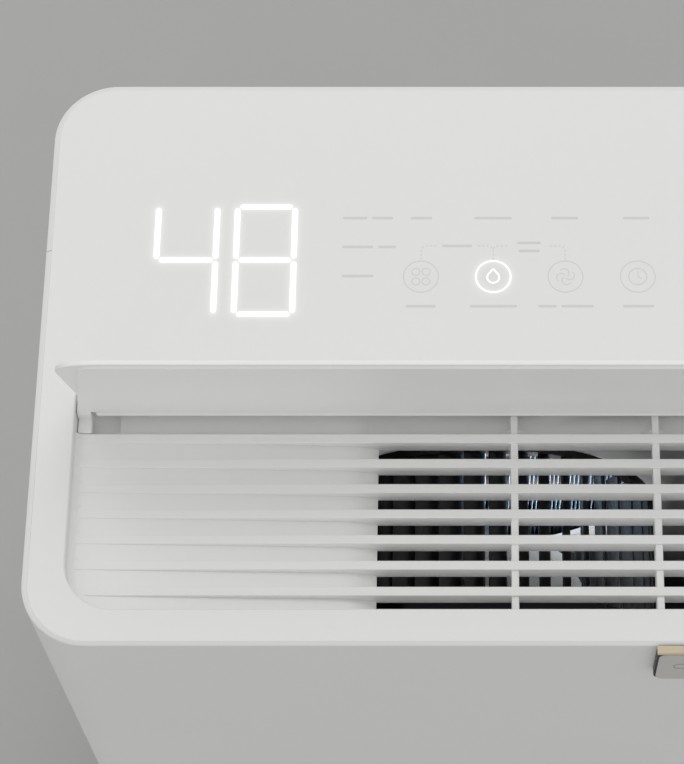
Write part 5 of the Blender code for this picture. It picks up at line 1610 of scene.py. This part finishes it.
def make_fan():
    dish = 0.040
    inner = FAN_RADIUS - 0.021
    skin_depth = 0.0011
    place = tuple(FAN)
    liner = [(0.0043, dish + 0.014), (0.012, dish + 0.014), (0.012, dish + 0.0022), (0.042, dish + 0.0022)]
    liner += [(inner, 0.0022), (inner, skin_depth), (0.041, dish + skin_depth), (0.0043, dish + skin_depth)]
    liner = turned(liner + liner[:1], place, "Y", 144)
    weighted(stand("wheel_liner", liner, "pale", "fan", smooth=40.0))
    flange = [(0.0043, dish + skin_depth), (0.041, dish + skin_depth), (inner, skin_depth), (inner, 0.0022)]
    flange += [(FAN_RADIUS, 0.0022), (FAN_RADIUS, 0.0), (FAN_RADIUS - 0.022, 0.0)]
    flange += [(0.040, dish), (0.0043, dish)]
    rim = [(FAN_RADIUS - 0.003, FAN_WIDTH), (FAN_RADIUS + 0.0015, FAN_WIDTH)]
    rim += [(FAN_RADIUS + 0.0015, FAN_WIDTH - 0.004), (FAN_RADIUS - 0.003, FAN_WIDTH - 0.004)]
    wheel = [turned(rim + rim[:1], place, "Y", 144)]
    wheel.append(turned(flange + flange[:1], place, "Y", 144))
    wheel += [blade(2 * math.pi * (index + 0.5) / FAN_BLADES) for index in range(FAN_BLADES)]
    stand("blower_wheel", gathered(wheel), "dark", "fan", ["fan_wheel"])
    low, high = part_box("fan_nut")
    hexagon = circle(FAN.x, FAN.z, (high.x - low.x) / 2, 6)
    bore = circle(FAN.x, FAN.z, 0.0043, 48)
    stand("wheel_nut", prism([hexagon, bore], low.y, high.y, "Y", 0.0005, 2), "zinc", "fan", ["fan_nut"])
    low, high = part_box("fan_shaft")
    rod = [(0.0034, high.y), (0.0040, high.y - 0.0006), (0.0040, low.y + 0.0006), (0.0034, low.y)]
    stand("motor_shaft", turned(rod, (FAN.x, 0, FAN.z), "Y", 40), "steel", "fan", ["fan_shaft"])
    low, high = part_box("fan_motor")
    radius = (high.x - low.x) / 2
    can = [(0.0043, high.y), (0.0105, high.y), (0.0105, high.y - 0.0030), (radius * 0.80, high.y - 0.0030)]
    can += [(radius * 0.97, high.y - 0.0070), (radius * 0.97, high.y - 0.018), (radius, high.y - 0.019)]
    can += [(radius, low.y + 0.014), (radius * 0.97, low.y + 0.013), (radius * 0.97, low.y), (0.0043, low.y)]
    can = soft_profile(can, 0.0015, 4)
    can = turned(can + can[:1], (FAN.x, 0, FAN.z), "Y", 96)
    stand("motor_can", can, "enamel", "cabinet", ["fan_motor"])


# ---------------------------------------------------------------- refrigeration


def make_coil(node, name, finish, passes):
    """Thin plates on level copper tubes, with the two end plates."""
    low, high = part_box(node)
    shape = bmesh.new()
    size = Matrix.Diagonal((COIL_PLATE_THICKNESS, high.y - low.y, high.z - low.z, 1.0))
    for index in range(COIL_PLATES + 1):
        x = low.x + 0.0002 + (high.x - low.x - 0.0004) * index / COIL_PLATES
        middle = Vector((x, (low.y + high.y) / 2, (low.z + high.z) / 2))
        bmesh.ops.create_cube(shape, size=1.0, matrix=Matrix.Translation(middle) @ size)
    stand(name, finish_shape(shape), finish, "cabinet", [node], smooth=20.0)
    spacing = (high.z - low.z) / passes
    tubes = []
    for row in range(passes):
        for level in (0.22, 0.78):
            height = low.z + (row + level) * spacing
            for share in (0.28, 0.72):
                y = low.y + (high.y - low.y) * share
                tubes.append(tube([(low.x - 0.0004, y, height), (high.x + 0.0008, y, height)], 0.0034, 14))
    # The tubes take the darker, duller copper
    stand(name + "_tubes", gathered(tubes), "dull_copper", "cabinet", smooth=50.0)


def hairpin(x, y, low, high, reach, sides=16):
    bend = soft_profile([(0.0, low), (reach, low), (reach, high), (0.0, high)], 0.0085, 8)
    return tube([(x + u, y, v) for u, v in bend], 0.0036, sides)


def make_bends(node, name):
    low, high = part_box(node)
    plate = block((low.x, low.y, low.z), (low.x + 0.0012, high.y, high.z), 0.0004)
    spacing = (high.z - low.z - 0.006) / 3
    middle = (low.y + high.y) / 2
    bends = []
    for row in range(3):
        bottom = low.z + 0.003 + (row + 0.22) * spacing
        top = low.z + 0.003 + (row + 0.78) * spacing
        bends.append(hairpin(low.x + 0.0004, middle, bottom, top, 0.0135))
    stand(name, gathered([plate, *bends]), "copper", "cabinet", [node], smooth=50.0)


def make_pipes():
    centre = middle_of("compressor")
    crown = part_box("compressor")[1].z
    for name, node, start, height, x, rise, coil, level, radius in PIPES:
        end_low, end_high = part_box(coil)
        y = (end_low.y + end_high.y) / 2
        begin = centre + Vector((*start, 0.0))
        corners = [(begin.x, begin.y, crown - 0.0006), (begin.x, begin.y, height), (x, begin.y, height)]
        corners += [(x, begin.y, rise), (x, y, rise)]
        if level != rise:
            corners.append((x, y, level))
        corners.append((end_high.x - 0.0002, y, level))
        pipe = tube(soft_profile(corners, 0.0075, 8, 0.48), radius, 16)
        stand(name, pipe, "copper", "cabinet", [node], smooth=50.0)
    low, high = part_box("filter_drier")
    middle = (low + high) / 2
    body = [(0.0003, high.z), (0.0026, high.z - 0.002), (0.0030, high.z - 0.005), (0.0085, high.z - 0.013)]
    body += [(0.0085, low.z + 0.013), (0.0030, low.z + 0.004), (0.0026, low.z + 0.001), (0.0003, low.z)]
    body = soft_profile(body, 0.0022, 4)
    stand("drier", turned(body, (middle.x, middle.y, 0), "Z", 48), "copper", "cabinet", ["filter_drier"])
    low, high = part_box("capillary_tube")
    end_low, end_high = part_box("evaporator_bends")
    y = (end_low.y + end_high.y) / 2
    route = [Vector((middle.x, middle.y, low.z + 0.0006))]
    for step in range(3 * 32 + 1):
        angle = 2 * math.pi * step / 32
        swing = Vector((math.cos(angle), math.sin(angle), 0.0)) * 0.0080
        route.append(Vector((middle.x, middle.y, 0.4400 + 0.018 * step / 96)) + swing)
    route += [Vector((middle.x, y, 0.4720)), Vector((end_high.x - 0.0010, y, 0.4760))]
    stand("capillary", tube(route, 0.0013, 12), "copper", "cabinet", ["capillary_tube"], smooth=60.0)


def make_compressor():
    low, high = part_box("compressor")
    centre = (low + high) / 2
    radius = 0.052
    height = high.z - low.z
    profile = [(0.0003, height), (radius * 0.45, height - 0.002), (radius * 0.80, height - 0.012)]
    profile += [(radius * 0.97, height - 0.028), (radius * 0.97, height * 0.62), (radius, height * 0.60)]
    profile += [(radius, height * 0.22), (radius * 0.86, height * 0.06)]
    profile += [(radius * 0.40, 0.004), (0.0003, 0.004)]
    profile = soft_profile(profile, 0.010, 6)
    shell = turned(profile, (centre.x, centre.y, low.z), "Z", 128)
    seam = turned(
        [(radius * 0.985 + 0.0011 * math.cos(t), height * 0.61 + 0.0011 * math.sin(t))
                 for t in [2 * math.pi * step / 12 for step in range(12)] + [0.0]],
        (centre.x, centre.y, low.z), "Z", 128,
    )
    plate_outline = rounded(low.x, low.y, high.x, high.y, [0.012] * 4, 8)
    plate = prism([plate_outline], low.z, low.z + 0.006, "Z", 0.0008, 3)
    stand("compressor_pot", gathered([shell, seam, plate]), "enamel", "cabinet", ["compressor"])
    for index in (1, 2, 3):
        low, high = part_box(f"compressor_foot_{index}")
        middle = (low + high) / 2
        foot = [(0.0060, high.z), (0.0075, high.z - 0.0006), (0.0078, high.z - 0.006)]
        foot += [(0.0068, high.z - 0.0085), (0.0068, high.z - 0.0105), (0.0088, high.z - 0.013)]
        foot += [(0.0100, low.z + 0.0010), (0.0096, low.z)]
        made = turned(soft_profile(foot, 0.0008), (middle.x, middle.y, 0), "Z", 48)
        stand(f"pot_foot_{index}", made, "rubber", "cabinet", [f"compressor_foot_{index}"])


# ---------------------------------------------------------------- plain inner pieces, given soft edges


def make_softened():
    for node, name, width, finish in SOFT_PIECES:
        mesh = soften(frame["nodes"][node].data.copy(), width, 2)
        weighted(stand(name, mesh, finish, "cabinet", [node], smooth=32.0))


def make_capacitor():
    low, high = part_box("run_capacitor")
    middle = (low + high) / 2
    radius = (high.x - low.x) / 2
    can = [(0.0003, high.z - 0.0008), (radius * 0.80, high.z - 0.0008)]
    can += [(radius * 0.84, high.z), (radius, high.z)]
    can += [(radius, high.z - 0.005), (radius * 0.93, high.z - 0.0062), (radius, high.z - 0.0075)]
    can += [(radius, low.z + 0.0004), (radius * 0.97, low.z), (0.0003, low.z)]
    can = soft_profile(can, 0.0010, 4)
    made = turned(can, (middle.x, middle.y, 0), "Z", 64)
    stand("capacitor", made, "can", "cabinet", ["run_capacitor"])


def make_touch_board():
    """Board under the top panel with one coiled touch spring for each control."""
    low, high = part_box("control_board")
    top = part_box("display_module")[0].z - SMALL_GAP
    board = block((low.x, low.y, low.z), (high.x, high.y, top), 0.0002, 1)
    chips = []
    for step in range(7):
        x = -0.045 + 0.026 * step
        start = (x, low.y + 0.060, top - 0.0001)
        chips.append(block(start, (x + 0.007, low.y + 0.067, top + 0.0016), 0.0002, 1))
    stand("touch_board", gathered([board, *chips]), "board", "cabinet", ["control_board"], smooth=25.0)
    springs = []
    for index in range(len(CAPTIONS)):
        x, y = button_place(index)
        route = []
        for step in range(4 * 24 + 1):
            angle = 2 * math.pi * step / 24
            around = (x + 0.0055 * math.cos(angle), y + 0.0055 * math.sin(angle))
            route.append((*around, top + 0.0005 + 0.0066 * step / 96))
        springs.append(tube(route, 0.0005, 8))
    stand("touch_springs", gathered(springs), "zinc", "cabinet", smooth=60.0)


# ---------------------------------------------------------------- nodes that keep their CAD shape


def finish_rest():
    for obj in frame["nodes"].values():
        slot = obj.data.materials[0].name
        obj.data.materials.clear()
        obj.data.materials.append(MATERIALS[SLOT_FINISH[slot]])


# ---------------------------------------------------------------- room, light and camera


def make_floor():
    """Pale seamless floor, a large slab with a slow drift in tone."""
    slab = block((-FLOOR_HALF, -FLOOR_HALF, -0.05), (FLOOR_HALF, FLOOR_HALF, 0.0))
    slab.materials.append(moulded("studio_floor", (0.46, 0.46, 0.455), 0.8, 40.0, 0.0002, 0.01))
    placed("floor", slab)


def area_light(name, place, aim, size, power):
    light = bpy.data.lights.new(name, "AREA")
    light.shape = "RECTANGLE"
    light.size, light.size_y = size
    light.energy = power
    holder = placed(name, light)
    holder.location = place
    holder.rotation_euler = (Vector(aim) - Vector(place)).to_track_quat("-Z", "Y").to_euler()
    return holder


def make_light():
    world = bpy.data.worlds.new("studio")
    world.use_nodes = True
    backdrop = world.node_tree.nodes["Background"]
    backdrop.inputs["Color"].default_value = (1.0, 1.0, 1.0, 1.0)
    backdrop.inputs["Strength"].default_value = WORLD_STRENGTH
    bpy.context.scene.world = world
    aim = (0, 0, TOP)
    area_light("overhead", (0.0, 1.3, 2.8), aim, (2.8, 2.0), OVERHEAD_POWER)
    area_light("front_fill", (-0.4, -3.0, 1.6), aim, (2.4, 1.6), FRONT_POWER)
    middle = FAN + Vector((0.0, 0.046, -0.020))
    eye = FAN + Vector((0.0, 0.078, 0.0))
    duct = Vector((0.050, FRONT + 0.034, FAN.z + 0.068))
    lamps = (
        ("coil_light", middle, middle + Vector((0.0, 1.0, -0.2)), (0.11, 0.05), COIL_POWER),
        ("wheel_light", eye, eye + Vector((0.0, -1.0, 0.2)), (0.10, 0.08), WHEEL_POWER),
        ("duct_light", duct, duct + Vector((0.0, 1.0, 0.1)), (0.16, 0.02), DUCT_POWER),
    )
    for name, place, target, size, power in lamps:
        lamp = area_light(name, place, target, size, power)
        lamp.visible_camera = False
        lamp.visible_glossy = False


def make_camera():
    lens = bpy.data.cameras.new("photo_view")
    lens.lens = CAMERA_LENS
    lens.sensor_width = 36.0
    lens.shift_x = CAMERA_SHIFT
    lens.clip_end = 50.0
    holder = placed("photo_view", lens)
    holder.location = (
        0.0, CAMERA_BASE - CAMERA_BACK * CAMERA_REACH, TOP + CAMERA_RISE * CAMERA_REACH
    )
    holder.rotation_euler = (math.radians(90 - CAMERA_DIP), 0.0, 0.0)
    bpy.context.scene.camera = holder


make_front_casing()
make_rear_casing()
make_top_panel()
make_grille()
make_flap()
make_badge()
make_display()
make_prints()
make_bucket_cover()
make_tank()
make_tank_lid()
make_float()
make_filter()
make_rear_fittings()
make_grips()
for corner_name in CASTER_CORNERS:
    make_caster(corner_name)
make_fan_housing()
make_fan()
make_coil("evaporator_fins", "evaporator", "coated", 3)
make_coil("condenser_fins", "condenser", "fins", 3)
make_bends("evaporator_bends", "evaporator_ends")
make_bends("condenser_bends", "condenser_ends")
make_pipes()
make_compressor()
make_softened()
make_capacitor()
make_touch_board()
finish_rest()
make_floor()
make_light()
make_camera()
bpy.context.scene.view_settings.view_transform = "Standard"
